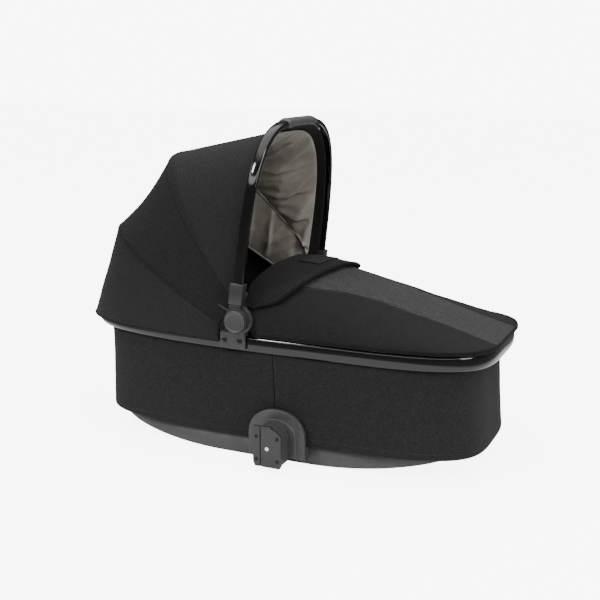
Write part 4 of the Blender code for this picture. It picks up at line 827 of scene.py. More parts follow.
liner_rows = [liner_row(step / (LINER_ROWS - 1)) for step in range(LINER_ROWS)]
for inward, up in LINER_CORNER_STEPS:
    liner_rows.append(plan(*[inset + inward for inset in LINER_LOW_INSETS],
                           LINER_FLOOR + LINER_CORNER * up, 1.0, count=LINER_COUNT))
liner_mesh = sheet_mesh("tub_liner_cloth", liner_rows, (0, 0, 0.15), wrap=True, close_last=True)
liner = piece("tub_liner_cloth", liner_mesh, LINING_CLOTH, "base", "lining_cloth", "body_liner")
wall(liner, LINER_THICKNESS)

pad_levels = (
    (MATTRESS_ROUND, MATTRESS_LOW), (0.0, MATTRESS_LOW + MATTRESS_ROUND),
    (0.0, MATTRESS_EDGE_TOP - MATTRESS_ROUND), (MATTRESS_ROUND, MATTRESS_EDGE_TOP),
    *((inward, MATTRESS_EDGE_TOP + up) for inward, up in MATTRESS_CROWN_STEPS),
)
pad_rows = [plan(*[inset + more for inset in MATTRESS_INSETS], z, 1.0, count=MATTRESS_COUNT)
            for more, z in pad_levels]
pad_mesh = sheet_mesh("mattress_pad", pad_rows, (0, 0, 0.065), wrap=True, close_last=True)


def swollen(mesh, voxel, pressure, most_move, lowest):
    """The mesh of a pad after a short cloth simulation with air pressure inside it."""
    solid = linked("pad_before_filling", mesh)
    bpy.context.view_layer.objects.active = solid
    remesh = solid.modifiers.new("remesh", "REMESH")
    remesh.mode = "VOXEL"
    remesh.voxel_size = voxel
    even = evaluated(solid)
    bpy.data.objects.remove(solid)
    pad = linked("pad_before_filling", even)
    points = np.array([v.co for v in even.vertices])
    cloth = pad.modifiers.new("cloth", "CLOTH")
    cloth.settings.use_pressure = True
    cloth.settings.uniform_pressure_force = pressure
    cloth.settings.effector_weights.gravity = 0.0
    cloth.settings.quality = 4
    for number in range(1, MATTRESS_FRAMES + 1):
        bpy.context.scene.frame_set(number)
    move = np.array([v.co for v in evaluated(pad).vertices]) - points
    length = np.linalg.norm(move, axis=1)[:, None]
    points = points + move * np.minimum(1.0, most_move / np.maximum(length, 1e-9))
    bpy.context.scene.frame_set(1)
    points[:, 2] = np.maximum(points[:, 2], lowest)
    even.vertices.foreach_set("co", points.ravel())
    even.update()
    bpy.data.objects.remove(pad)
    even.shade_smooth()
    return even


filled = swollen(closed_up(pad_mesh, cap=True), MATTRESS_VOXEL, MATTRESS_PRESSURE,
                 MATTRESS_MOST_MOVE, MATTRESS_LOW)
mattress = piece("mattress_pad", filled, MATTRESS_CLOTH, "base", "mattress_cloth", "mattress")


# Side plates and pushchair adapters. Moulded D-shaped plates carry a boss and a grooved face
# plate that slides into the pushchair's receiver, held by four dark countersunk screws.
SATIN_PLASTIC = moulded_plastic("satin_grey_plastic", (0.026, 0.026, 0.027), (0.033, 0.033, 0.034),
                                0.36, 0.48)
PALE_PLASTIC = moulded_plastic("pale_pin_plastic", (0.70, 0.70, 0.69), (0.8, 0.8, 0.79), 0.3, 0.4)
DARK_PLASTIC = moulded_plastic("dark_grey_plastic", (0.0125, 0.0125, 0.013),
                               (0.0165, 0.0165, 0.017), 0.42, 0.55)
DARK_STEEL = steel_material("blackened_steel", (0.035, 0.035, 0.037), 0.22, 0.34)
SIDES = (("left", 1), ("right", -1))
WELD = 0.00001
FLAT_ANGLE, MOULDED_SHARP, ROUNDED_ANGLE = math.radians(0.6), math.radians(32), math.radians(38)
TURNED_SHARP = math.radians(40)
FASTENER_STEPS = 24
SIDE_MOULDINGS = (
    ("side_plate_moulding", "side_plate", SATIN_PLASTIC, "satin_plastic", 0.0007),
    ("adapter_boss_moulding", "adapter_boss", SATIN_PLASTIC, "satin_plastic", 0.0007),
    ("adapter_face_moulding", "adapter_plate", DARK_PLASTIC, "satin_plastic", 0.0005),
    ("adapter_guide_pin", "adapter_pin", PALE_PLASTIC, "guide_pin", 0.0002),
)
SCREW_SPOTS = [(0.042 + dx, z) for dx in (-0.0205, 0.0205) for z in (0.024, 0.066)]
ADAPTER_FACE_Y = 0.2140
SCREW_PROFILE = (
    (0.0, -0.0010), (0.0012, -0.0010), (0.0014, -0.0001), (0.0026, -0.0001), (0.0033, -0.0005),
    (0.0033, -0.0018), (0.0016, -0.0018), (0.0016, -0.0118), (0.0, -0.0120),
)


def moulding(name, node, finish, body, slot, edge_round):
    """A CAD node's shape with its moulded edges rounded, in place of the node."""
    bm = bmesh.new()
    bm.from_mesh(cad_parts[node].data)
    bmesh.ops.remove_doubles(bm, verts=bm.verts, dist=WELD)
    bmesh.ops.dissolve_limit(bm, angle_limit=FLAT_ANGLE, verts=bm.verts, edges=bm.edges)
    mesh = bpy.data.meshes.new(name)
    bm.to_mesh(mesh)
    bm.free()
    mesh.shade_smooth()
    mesh.set_sharp_from_angle(angle=MOULDED_SHARP)
    made = piece(name, mesh, finish, body, slot, node)
    edge = made.modifiers.new("moulded_edge", "BEVEL")
    edge.width = edge_round
    edge.segments = 2
    edge.limit_method = "ANGLE"
    edge.angle_limit = ROUNDED_ANGLE


for side, _ in SIDES:
    for kind, node, finish, slot, edge_round in SIDE_MOULDINGS:
        moulding(f"{kind}_{side}", f"{node}_{side}", finish, "base", slot, edge_round)

fastener_tree, given, result = node_group("set_of_fasteners", "Geometry", {
    "Geometry": "Geometry", "Fastener": "Object", "Finish": "Material",
}, {"Geometry": "Geometry"})
facing = add(fastener_tree, "GeometryNodeInputNamedAttribute", {"Name": "facing"},
             out="Attribute", data_type="FLOAT_VECTOR")
end_with_copies(
    fastener_tree, add(fastener_tree, "GeometryNodeMeshToPoints", {"Mesh": given["Geometry"]}),
    add(fastener_tree, "GeometryNodeObjectInfo", {"Object": given["Fastener"]}, out="Geometry"),
    add(fastener_tree, "FunctionNodeAlignRotationToVector", {"Vector": facing}, axis="Z"),
    given["Finish"], result)


def lathe_mesh(name, profile, steps):
    """A round piece on the Z axis from radius and height pairs."""
    turns = [2 * math.pi * i / steps for i in range(steps)]
    points = [(radius * math.cos(turn), radius * math.sin(turn), height)
              for radius, height in profile for turn in turns]
    faces = [(a, d, c, b) for a, b, c, d in grid_faces(len(profile), steps, columns_closed=True)]
    mesh = bpy.data.meshes.new(name)
    mesh.from_pydata(points, [], faces)
    closed_up(mesh, weld=WELD).shade_smooth()
    mesh.set_sharp_from_angle(angle=TURNED_SHARP)
    return mesh


def fasteners(name, profile, node, spots, y):
    """One piece of dark steel fasteners at the same spots on both sides, facing outward."""
    model = linked(name + "_model", lathe_mesh(name + "_model", profile, FASTENER_STEPS))
    source = bpy.data.meshes.new(name + "_places")
    source.from_pydata([(x, sign * y, z) for _, sign in SIDES for x, z in spots], [], [])
    attribute = source.attributes.new("facing", "FLOAT_VECTOR", "POINT")
    facings = [(0.0, sign, 0.0) for _, sign in SIDES for _ in spots]
    attribute.data.foreach_set("vector", np.ravel(facings))
    mesh = grown(name, source, fastener_tree, {"Fastener": model, "Finish": DARK_STEEL})
    mesh.set_sharp_from_angle(angle=TURNED_SHARP)
    bpy.data.objects.remove(model)
    nodes = [f"{node}_{side}_{n}" for side, _ in SIDES for n in range(1, len(spots) + 1)]
    piece(name, mesh, DARK_STEEL, "base", "screw_steel", *nodes)


fasteners("adapter_screw_set", SCREW_PROFILE, "adapter_screw", SCREW_SPOTS, ADAPTER_FACE_Y)


# Hub brackets. A moulded clamp hooks over the rim at each side, fixed by two blind rivets, and
# its disc carries the steel pin that the hood and handle turn on.
RIVET_PROFILE = (
    (0.0, 0.0009), (0.0011, 0.0009), (0.0015, 0.0015), (0.0030, 0.0016), (0.0042, 0.0011),
    (0.0048, 0.0003), (0.0048, 0.0), (0.0024, 0.0), (0.0024, -0.0138), (0.0, -0.0140),
)
RIVET_SPOTS = ((-0.056, 0.2255), (-0.026, 0.2255))
RIVET_Y = 0.1823
for side, _ in SIDES:
    moulding(f"hub_clamp_moulding_{side}", f"hub_bracket_{side}", SATIN_PLASTIC, "base",
             "satin_plastic", 0.0009)
    finish_node(f"hub_pin_{side}", PLATED_STEEL)
fasteners("rim_rivet_set", RIVET_PROFILE, "rim_rivet", RIVET_SPOTS, RIVET_Y)


# Handle bow. An oval aluminium tube bent into an arch and lacquered gloss black. It is both the
# front edge of the hood and the carrying handle, so its crown has a sewn leather-look grip.
HUB_X = -0.027
HUB_Z = 0.265
HUB = np.array((HUB_X, 0.0, HUB_Z))
BOW_ANGLE = 96.8
BOW_HALF_WIDTH = 0.182
BOW_REACH = 0.340
BOW_LEG = 0.024
BOW_POWER = 3.54
BOW_DEPTH = 0.012
BOW_WIDTH = 0.020
BOW_SECTION_POWER, BOW_SECTION_COUNT = 2.8, 32
BOW_SET_BACK = 0.006
BOW_FOOT = 0.0330
BOW_COUNT = 240
GRIP_HALF_LENGTH = 0.0640
GRIP_LEATHER_THICKNESS = 0.0016
GRIP_FIT = 0.0006
GRIP_SECTION_POWER, GRIP_SECTION_COUNT = 2.6, 40
GRIP_STITCH_GAP = 0.0022
GRIP_STITCH_SKIP = 3
FINE_ARCH = 800


def hood_frame(angle_degrees, offset=0.0, x=HUB_X, z=HUB_Z):
    """The plane through the hub axis at an angle above the head end: across, up and square."""
    angle = math.radians(angle_degrees)
    across = Vector((0, 1, 0))
    rise = Vector((-math.cos(angle), 0, math.sin(angle)))
    square = across.cross(rise)
    place = Matrix((across, rise, square)).transposed().to_4x4()
    place.translation = Vector((x, 0, z)) + square * offset
    return place


def arch(half_width, reach, power, start, count, leg=0.0):
    """A flat arch from right to left, as across and height pairs, from a height above the hub."""
    share = max(0.0, (start - leg) / (reach - leg))
    foot = half_width * (1 - share**power) ** (1 / power)
    points = [(-foot, start, 0.0)]
    for i in range(1, FINE_ARCH):
        c, s = power_point(math.pi * i / FINE_ARCH, power)
        height = leg + (reach - leg) * s
        if height > start:
            points.append((-half_width * c, height, 0.0))
    points.append((foot, start, 0.0))
    return evenly(points, count)


def placed(points, place):
    return np.array([tuple(place @ Vector(p)) for p in points])


def arch_tube(name, flat_path, place, outline):
    """A tube along a flat arch, its section's first axis outward in the arch's plane."""
    ahead = unit(np.gradient(flat_path, axis=0))
    outward = np.stack([-ahead[:, 1], ahead[:, 0], np.zeros(len(ahead))], axis=1)
    turn = np.array(place.to_3x3())
    square = np.tile(turn[:, 2], (len(flat_path), 1))
    return tube_mesh(name, placed(flat_path, place), outward @ turn.T, square, outline)


def moved_points(mesh, move):
    """Moves each point of a mesh by what a function of its number and place gives."""
    points = np.array([v.co for v in mesh.vertices])
    points += [move(number, point) for number, point in enumerate(points)]
    mesh.vertices.foreach_set("co", points.ravel())
    mesh.update()
    return mesh


bow_place = hood_frame(BOW_ANGLE, -BOW_SET_BACK)
bow_path = arch(BOW_HALF_WIDTH, BOW_REACH, BOW_POWER, BOW_FOOT, BOW_COUNT, leg=BOW_LEG)
bow_outline = section_outline(BOW_DEPTH, BOW_WIDTH, BOW_SECTION_POWER, BOW_SECTION_COUNT)
bow_mesh = arch_tube("bow_gloss_tube", bow_path, bow_place, bow_outline)
piece("bow_gloss_tube", bow_mesh, GLOSS_BLACK, "bow", "bow_tube", "hood_bow")


def leather_material(name, dark, light):
    """Leather-look cover: pebbled grain, creases, painted shine on high spots, painted shade in
    creases.
    """
    made, tree, shader = new_material(name)
    place = place_in(tree, "Object")
    cells = add(tree, "ShaderNodeTexVoronoi", {"Scale": 900.0, "Vector": place}, out="Distance")
    creases = noise_node(tree, place, 120.0, detail=4.0)
    height = maths(tree, "MULTIPLY_ADD", creases, 0.8, cells)
    feed(tree, shader, {
        # Painted shine and shade: the colour is lighter where the grain stands high and darker in
        # its creases.
        "Base Color": between(tree, ramp(tree, height, 0.3, 1.1), dark, light),
        "Roughness": ramp(tree, creases, 0.3, 0.7, 0.42, 0.6),
        "Normal": bump(tree, height, 0.45, 0.0003),
    })
    return made


GRIP_LEATHER = leather_material("grip_leather", (0.029, 0.0275, 0.0285), (0.056, 0.053, 0.055))
GRIP_THREAD = thread_material("grip_thread", (0.035, 0.034, 0.036))
grip_growth = GRIP_FIT + 2 * GRIP_LEATHER_THICKNESS
grip_outline = section_outline(BOW_DEPTH + grip_growth, BOW_WIDTH + grip_growth,
                               GRIP_SECTION_POWER, GRIP_SECTION_COUNT)
held_path = bow_path[np.abs(bow_path[:, 0]) <= GRIP_HALF_LENGTH]
held_line = placed(held_path, bow_place)


def grip_relief(number, point):
    """Rolls the ends of the leather over, and gives it creases."""
    ring = number // GRIP_SECTION_COUNT
    from_end = min(ring, len(held_path) - 1 - ring) / 4.0
    rolled = 0.0012 * bell(from_end, 0.9, 0.5) - 0.0009 * math.exp(-from_end * 2.2)
    crease = 0.00025 * noise_value(point * (1.0, 1.0, 2.0), 0.012, 4.0)
    return unit(point - held_line[ring]) * (rolled + crease)


grip_mesh = moved_points(arch_tube("grip_leather_wrap", held_path, bow_place, grip_outline),
                         grip_relief)
piece("grip_leather_wrap", grip_mesh, GRIP_LEATHER, "bow", "grip_cover", "hood_grip")
inner_flat = held_path.copy()
inner_flat[:, 1] -= BOW_DEPTH / 2 + GRIP_LEATHER_THICKNESS + STITCH_PROUD
inner_flat = inner_flat[GRIP_STITCH_SKIP:-GRIP_STITCH_SKIP]
grip_lines = [placed(inner_flat, hood_frame(BOW_ANGLE, -BOW_SET_BACK + shift))
              for shift in (-GRIP_STITCH_GAP, GRIP_STITCH_GAP)]
stitched("grip_stitching", grip_lines, "bow", "grip_cover", thread=GRIP_THREAD, Pitch=0.0036,
         Length=0.0028, Thickness=0.0007)


# Bow sockets and hub buttons. The feet of the bow stand in moulded sockets that turn on the hub
# pins. A dished round button at each hub is pushed in to free the fold.
BUTTON_PROFILE = (
    (0.0, 0.0048), (0.0060, 0.00485), (0.0120, 0.0051), (0.0158, 0.0054), (0.0168, 0.0058),
    (0.0174, 0.0066), (0.0178, 0.0068), (0.0188, 0.0068), (0.0195, 0.0065), (0.0200, 0.0058),
    (0.0200, 0.0), (0.0, 0.0),
)
BUTTON_INNER_Y = 0.1932
BUTTON_STEPS = 72
for side, sign in SIDES:
    moulding(f"bow_socket_moulding_{side}", f"bow_socket_{side}", DARK_PLASTIC, "bow",
             "satin_plastic", 0.0008)
    finish_node(f"button_spring_{side}", PLATED_STEEL)
    button_mesh = lathe_mesh(f"hub_push_button_{side}", BUTTON_PROFILE, BUTTON_STEPS)
    button_mesh.transform(Matrix.Translation((HUB_X, sign * BUTTON_INNER_Y, HUB_Z))
                          @ Matrix.Rotation(math.radians(-90 * sign), 4, "X"))
    piece(f"hub_push_button_{side}", button_mesh, SATIN_PLASTIC, f"button_{side}", "satin_plastic",
          f"hub_button_{side}")


# Hood ribs. Two steel wires arch over inside the hood in sleeves of lining cloth sewn to the
# seams, and their eyes turn on the hub pins, so that the hood folds back with the bow.
RIBS = (
    ("front_rib", 54.1, 0.1664, 0.3371, 3.03),
    ("rear_rib", 26.7, 0.1717, 0.3230, 4.5),
)
SLEEVE_START = 0.046
SLEEVE_INSET = 0.0022
SLEEVE_DEPTH, SLEEVE_WIDTH = 0.0088, 0.0076
SLEEVE_PUCKER = 0.0004
SLEEVE_COUNT = 150
sleeve_outline = section_outline(SLEEVE_DEPTH, SLEEVE_WIDTH, 2.0, 16)
for rib, angle, half_width, reach, power in RIBS:
    finish_node(rib, DARK_STEEL)
    path = arch(half_width - SLEEVE_INSET, reach - SLEEVE_INSET, power, SLEEVE_START, SLEEVE_COUNT)
    sleeve_mesh = moved_points(
        arch_tube(f"{rib}_sleeve", path, hood_frame(angle), sleeve_outline),
        lambda number, point: np.full(3, SLEEVE_PUCKER * noise_value(point, 0.009, 6.0)))
    piece(f"{rib}_sleeve", sleeve_mesh, LINING_CLOTH, rib, "lining_cloth")


# Hood cloth. Three shaped panels are sewn together over the ribs into one canopy. The front and
# rear panels are a knitted mesh with raised dots, and the middle panel is plain woven cloth.
HOOD_FRONT_START = 0.050
HOOD_EDGE_SIDE, HOOD_EDGE_CROWN = 0.0022, 0.0021
HOOD_EDGE_TUCK = (0.0030, 0.10)
HOOD_DIP_SIZES = (0.1745, 0.3228, BOW_POWER)
HOOD_DIP_TUCK = (0.0040, 0.10)
HOOD_DIP_BACK = BOW_SET_BACK + BOW_WIDTH / 2 + 0.0065
FRONT_SEAM_PLANE = hood_frame(53.1, x=-0.022, z=0.268)
FRONT_SEAM_SIZES = (0.1731, 0.3405, 3.03)
FRONT_SEAM_START = 0.028
FRONT_SEAM_TUCK = (0.0042, 0.12)
REAR_SEAM_PLANE = hood_frame(33.0, x=-0.053, z=0.239)
REAR_SEAM_SIZES = (0.1790, 0.3165, 4.9)
REAR_SEAM_START = 0.020
REAR_SEAM_TUCK = (0.0060, 0.10)
HOOD_COUNT = 129
HOOD_ROWS = 17
HOOD_CLOTH_THICKNESS = 0.0018
HEM_Z = 0.2225
HEM_SIDE_CLEARANCE = 0.0060
HEM_HEAD_CLEARANCE = 0.0080
HEM_FRONT_X = -0.066
HEM_FACING_TOP = 0.2290
HEM_FACING_IN = 0.0057
HEM_FACING_THICKNESS = 0.0012
DOT_PITCH = 0.0046
SEAM_PIPING_OUT, SEAM_PIPING_RADIUS = 0.0014, 0.0011
HEM_BINDING_OUT, HEM_BINDING_RADIUS = 0.0009, 0.0019
SEAM_STITCH_OFF = 0.0042
SEAM_STITCH_COUNT = 300
SEAM_STITCH_SKIP = 8
SEAM_PIPING_COUNT, HEM_BINDING_COUNT, HEM_PLAN_COUNT = 220, 260, 600


def dotted_mesh_cloth(name, dark, light):
    """Knitted mesh: staggered raised dots on a dark ground."""
    made, tree, shader = new_material(name)
    dots = use_group(tree, weave, place_in(tree, "UV"), Pitch=DOT_PITCH, Twill=0.0)
    fibres = use_group(tree, melange, place_in(tree, "Object"), Size=600.0)
    raised = ramp(tree, dots["Height"], 0.15, 0.75)
    shade = maths(tree, "MULTIPLY_ADD", fibres["Mask"], 0.25, maths(tree, "MULTIPLY", raised, 0.75))
    cloth_shader(tree, shader, between(tree, shade, dark, light), 0.8,
                 bump(tree, raised, 0.6, 0.0005), gloss=0.15)
    return made


MESH_CLOTH = dotted_mesh_cloth("dotted_hood_cloth", (0.0040, 0.0040, 0.0042),
                               (0.034, 0.034, 0.035))
HOOD_CLOTH = woven_cloth("plain_hood_cloth", (0.0085, 0.0085, 0.0088), (0.0145, 0.0145, 0.015))


def tucked_arch(place, sizes, start, tuck, count, leg=0.0, out=0.0):
    """An arch in a plane. Below a height its feet are drawn in behind the bow's sockets."""
    half_width, reach, power = sizes
    drawn_in, below = tuck
    path = arch(half_width + out, reach + out, power, start, count, leg=leg)
    low = np.clip((below - path[:, 1]) / (below - path[0, 1]), 0.0, 1.0)
    path[:, 0] -= np.sign(path[:, 0]) * drawn_in * low
    return placed(path, place)


def front_edge(count=HOOD_COUNT):
    """Where the front panel is fixed, against the inner side of the bow."""
    half_width = BOW_HALF_WIDTH - BOW_DEPTH / 2 - HOOD_EDGE_SIDE
    reach = BOW_REACH - BOW_DEPTH / 2 - HOOD_EDGE_CROWN
    return tucked_arch(bow_place, (half_width, reach, BOW_POWER), HOOD_FRONT_START, HOOD_EDGE_TUCK,
                       count, leg=BOW_LEG)


def front_dip(count=HOOD_COUNT):
    """Where the cloth comes out from behind the bow."""
    return tucked_arch(hood_frame(BOW_ANGLE, -HOOD_DIP_BACK), HOOD_DIP_SIZES, HOOD_FRONT_START,
                       HOOD_DIP_TUCK, count, leg=BOW_LEG)


def front_seam(count=HOOD_COUNT, out=0.0):
    return tucked_arch(FRONT_SEAM_PLANE, FRONT_SEAM_SIZES, FRONT_SEAM_START, FRONT_SEAM_TUCK,
                       count, out=out)


def rear_seam(count=HOOD_COUNT, out=0.0):
    return tucked_arch(REAR_SEAM_PLANE, REAR_SEAM_SIZES, REAR_SEAM_START, REAR_SEAM_TUCK, count,
                       out=out)


def hood_hem(count=HOOD_COUNT, out=0.0, z=HEM_Z):
    """The lower edge of the hood, round the outside of the rim behind the hubs."""
    ring = plan(-HEM_SIDE_CLEARANCE - out, -HEM_HEAD_CLEARANCE - out, 0.0, z,
                count=HEM_PLAN_COUNT)
    behind = [p for p in ring if p[0] <= HEM_FRONT_X]
    return evenly(sorted(behind, key=lambda p: math.atan2(p[1], -p[0])), count)


def bending(made):
    """Bakes a sheet's placement into its points."""
    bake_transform(made)


def hood_panel(name, edges, sag, folds, finish, node, seed):
    """A panel between edge lines, drawn in or out between them."""
    rows, shares = [], np.arange(HOOD_ROWS) / (HOOD_ROWS - 1)
    stops = np.linspace(0.0, 1.0, len(edges))
    for along in shares:
        held = math.sin(math.pi * along)
        row = []
        for j, crossing in enumerate(zip(*edges)):
            across = j / (HOOD_COUNT - 1)
            point = np.array([np.interp(along, stops, values) for values in zip(*crossing)])
            edge_hold = min(1.0, min(across, 1 - across) / 0.06)
            soft = noise_value(point, 0.07, seed) + 0.45 * noise_value(point, 0.028, seed + 2.0)
            tight = noise_value((across * 3.2, along * 0.4, seed), 0.35, seed)
            crown = math.sin(math.pi * across) ** 1.5
            move = -sag * crown * held + folds * held * (0.7 * soft + 0.6 * tight) * edge_hold
            row.append(point + unit(point - HUB) * move)
        rows.append(row)
    made = piece(name, sheet_mesh(name, rows, HUB), finish, None, "hood_cloth", node)
    wall(made, HOOD_CLOTH_THICKNESS, offset=1.0)
    bending(made)
    return made


rear_panel = hood_panel("hood_rear_cloth", (hood_hem(), rear_seam()), -0.0035, 0.0016,
                        MESH_CLOTH, "hood_panel_rear", 11.0)
middle_panel = hood_panel("hood_middle_cloth", (rear_seam(), front_seam()), 0.0060, 0.0014,
                          HOOD_CLOTH, "hood_panel_middle", 12.0)
front_panel = hood_panel("hood_front_cloth", (front_seam(), front_dip(), front_edge()), 0.0008,
                         0.0010, MESH_CLOTH, "hood_panel_front", 13.0)


def piping(name, path, radius, finish, body, slot, flatten=1.0):
    """A round cord of cloth sewn into a seam or over an edge."""
    points = np.array(path)
    ahead = unit(np.gradient(points, axis=0))
    away_from = points - np.array((points[:, 0].mean(), 0.0, points[:, 2].mean()))
    outward = unit(away_from - (away_from * ahead).sum(axis=1)[:, None] * ahead)
    outline = section_outline(2 * radius * flatten, 2 * radius, 2.0, 12)
    mesh = tube_mesh(name, points, outward, np.cross(ahead, outward), outline)
    return piece(name, mesh, finish, body, slot)


piping("hood_front_seam_piping", front_seam(SEAM_PIPING_COUNT, out=SEAM_PIPING_OUT),
       SEAM_PIPING_RADIUS, HOOD_CLOTH, "front_rib", "hood_cloth")
piping("hood_rear_seam_piping", rear_seam(SEAM_PIPING_COUNT, out=SEAM_PIPING_OUT),
       SEAM_PIPING_RADIUS, HOOD_CLOTH, "rear_rib", "hood_cloth")
piping("hood_hem_binding", hood_hem(HEM_BINDING_COUNT, out=HEM_BINDING_OUT), HEM_BINDING_RADIUS,
       HOOD_CLOTH, "base", "hood_cloth")
facing_mesh = sheet_mesh(
    "hood_hem_facing", [hood_hem(), hood_hem(out=-HEM_FACING_IN, z=HEM_FACING_TOP)], HUB)
facing = piece("hood_hem_facing", facing_mesh, HOOD_CLOTH, "base", "hood_cloth")
wall(facing, HEM_FACING_THICKNESS, offset=1.0)


def beside_seam(edge_line, toward_line, out):
    """A line of stitching beside a seam towards a neighbouring line, lifted off the cloth."""
    edge, toward = edge_line(SEAM_STITCH_COUNT), toward_line(SEAM_STITCH_COUNT)
    line = edge + unit(toward - edge) * SEAM_STITCH_OFF + unit(edge - HUB) * out
    return line[SEAM_STITCH_SKIP:-SEAM_STITCH_SKIP]


stitched("hood_front_seam_stitching", [
    beside_seam(front_seam, rear_seam, 0.0016), beside_seam(front_seam, front_dip, 0.0018),
], "front_rib", "hood_cloth")
stitched("hood_rear_seam_stitching", [
    beside_seam(rear_seam, hood_hem, 0.0020), beside_seam(rear_seam, front_seam, 0.0016),
], "rear_rib", "hood_cloth")


# Hood lining. Satin-faced taupe cloth hangs loosely inside the hood between the ribs and the
# bow, so soft folds run across it from each rib to the next.
LINING_COUNT = 301
LINING_ROWS = 45
LINING_ARC = 0.9
LINING_THICKNESS = 0.0009
LINING_INNER = 0.0070
LINING_CORD = 0.0026
LINING_CORD_SKIP = 3
MOUTH_SIZES = (0.1705, 0.3185, BOW_POWER)
MOUTH_START = 0.064
MOUTH_TUCK = (0.012, 0.22)
# Angle, half width, reach and power of each arch, the pull on its feet, and where they start.
LINING_REAR_LINE = (26.7, 0.1664, 0.3230, 4.5, -0.018, 0.052)
LINING_FRONT_LINE = (54.1, 0.1664, 0.3371, 3.03, 0.026, 0.062)


def lining_line(angle, half_width, reach, power, pull, start):
    """The seam of the lining on a rib, with its feet pulled forward or back from the wire."""
    path = arch(half_width - LINING_INNER, reach - LINING_INNER, power, start, LINING_COUNT)
    path[:, 2] = pull * np.clip((reach - path[:, 1]) / (reach - start), 0.0, 1.0)
    return placed(path, hood_frame(angle))


def satin_material(name, dark, light):
    """Satin lining: smooth threads that shine along the folds."""
    made, tree, shader = new_material(name)
    threads = use_group(tree, weave, place_in(tree, "UV"), Pitch=0.0008, Twill=1.0)
    cloud = noise_node(tree, place_in(tree, "Object"), 26.0)
    cloth_shader(tree, shader, between(tree, ramp(tree, cloud, 0.3, 0.7), dark, light),
                 ramp(tree, cloud, 0.3, 0.7, 0.36, 0.5), bump(tree, threads["Height"], 0.2, 0.0001),
                 gloss=0.5, sheen=0.3, tint=(0.9, 0.85, 0.75))
    return made


SATIN_LINING = satin_material("satin_lining", (0.17, 0.154, 0.133), (0.22, 0.20, 0.175))


def crease(arc, along, size, skew, seed):
    """How far loose cloth is pulled into narrow creases, from 0 to 1."""
    at = (arc + skew * along, 0.35 * size * along, 0.0)
    return max(0.0, 1.0 - 2.6 * abs(noise_value(at, size, seed))) ** 1.5


def hood_lining(name, lower, upper, node, depth, seed):
    """A bay of lining between two lines, loose enough to fall into creases across it."""
    rows, shares = [], np.arange(LINING_ROWS) / (LINING_ROWS - 1)
    for along in shares:
        held = math.sin(math.pi * along) ** 0.75
        row = []
        for j in range(LINING_COUNT):
            across = j / (LINING_COUNT - 1)
            point = lower[j] + (upper[j] - lower[j]) * along
            side = 1 if across > 0.5 else -1
            arc = LINING_ARC * across
            low_down = abs(2 * across - 1)
            folds = (crease(arc, along, 0.062, 0.060 * side, seed)
                     + 0.7 * crease(arc, along, 0.036, -0.045 * side, seed + 4.0))
            soft = 0.5 + 0.5 * noise_value(point, 0.055, seed + 8.0)
            small = 0.12 * noise_value(point, 0.016, seed + 5.0)
            gathered = ((0.7 + 0.3 * low_down) * folds + 0.5 * soft + small
                        + 0.35 * (1 - low_down))
            row.append(point + unit(HUB - point) * depth * held * gathered)
        rows.append(row)
    made = piece(name, sheet_mesh(name, rows, HUB), SATIN_LINING, None, "lining_cloth", node)
    wall(made, LINING_THICKNESS, offset=1.0)
    bending(made)
    return made


# The front seam of the lining lies just behind the bow, where black hood cloth faces it.
mouth_line = tucked_arch(hood_frame(BOW_ANGLE, -HOOD_DIP_BACK), MOUTH_SIZES, MOUTH_START,
                         MOUTH_TUCK, LINING_COUNT, leg=BOW_LEG)
rear_line = lining_line(*LINING_REAR_LINE)
front_line = lining_line(*LINING_FRONT_LINE)
lining_rear = hood_lining("hood_lining_rear_cloth", rear_line, front_line,
                          "hood_lining_rear", 0.0105, 21.0)
lining_front = hood_lining("hood_lining_front_cloth", front_line, mouth_line,
                           "hood_lining_front", 0.0130, 22.0)
for rib, path in (("front", front_line), ("rear", rear_line)):
    piping(f"hood_lining_{rib}_cord", path[LINING_CORD_SKIP:-LINING_CORD_SKIP], LINING_CORD,
           SATIN_LINING, f"{rib}_rib", "lining_cloth")


# Apron. Weatherproof cloth over thin wadding covers the foot half of the tub: a pale flecked
# panel along the top with a dark panel sewn to each side, and a bound hem that lies on the rim.
APRON_SIDE_INSET = 0.0020
APRON_END_OVERHANG = 0.0030
APRON_HEM_X = 0.0030
APRON_HEAD_REACH = 0.0300
APRON_HEAD_X = APRON_HEM_X - APRON_HEAD_REACH
APRON_HEIGHT = 0.1020
APRON_POWER = 2.5
APRON_FOOT_POWER = 1.8
APRON_ROUND_FROM, APRON_ROUND_OVER = 0.05, 0.2
APRON_HEM_Z = RIM_TOP + 0.0003
APRON_END_X = RIM_LENGTH / 2 + APRON_END_OVERHANG
APRON_HEAD_TABLE = ((0.0, 0.62), (0.3, 0.77), (0.5, 0.97), (0.7, 0.75), (0.85, 0.25), (1.0, 0.0))
APRON_CREST_TABLE = (
    (0.0, 1.0), (0.026, 1.0), (0.163, 0.948), (0.343, 0.79), (0.512, 0.635), (0.62, 0.510),
    (0.738, 0.365), (0.84, 0.225), (0.912, 0.13), (0.966, 0.06), (1.0, 0.0),
)
APRON_SEAM_TABLE = (
    (-0.03, 0.118), (0.081, 0.102), (0.132, 0.081), (0.184, 0.073), (0.256, 0.070), (0.308, 0.067),
    (0.338, 0.066), (0.394, 0.070),
)
APRON_CLOTH_THICKNESS = 0.0030
APRON_COUNT = 161
APRON_ROWS = 120
APRON_GROOVE = 0.0012
HEM_TAPE_HEIGHT = 0.0072
HEM_TAPE_THICKNESS = 0.0046
HEM_TAPE_BACK, HEM_TAPE_OUT = 0.0008, 0.0015
APRON_HEAD_BINDING = 0.0022
APRON_STITCH_OFF = 0.0045
APRON_STITCH_LIFT = APRON_CLOTH_THICKNESS + 0.0003
APRON_STITCH_SPAN = (0.045, 0.402)


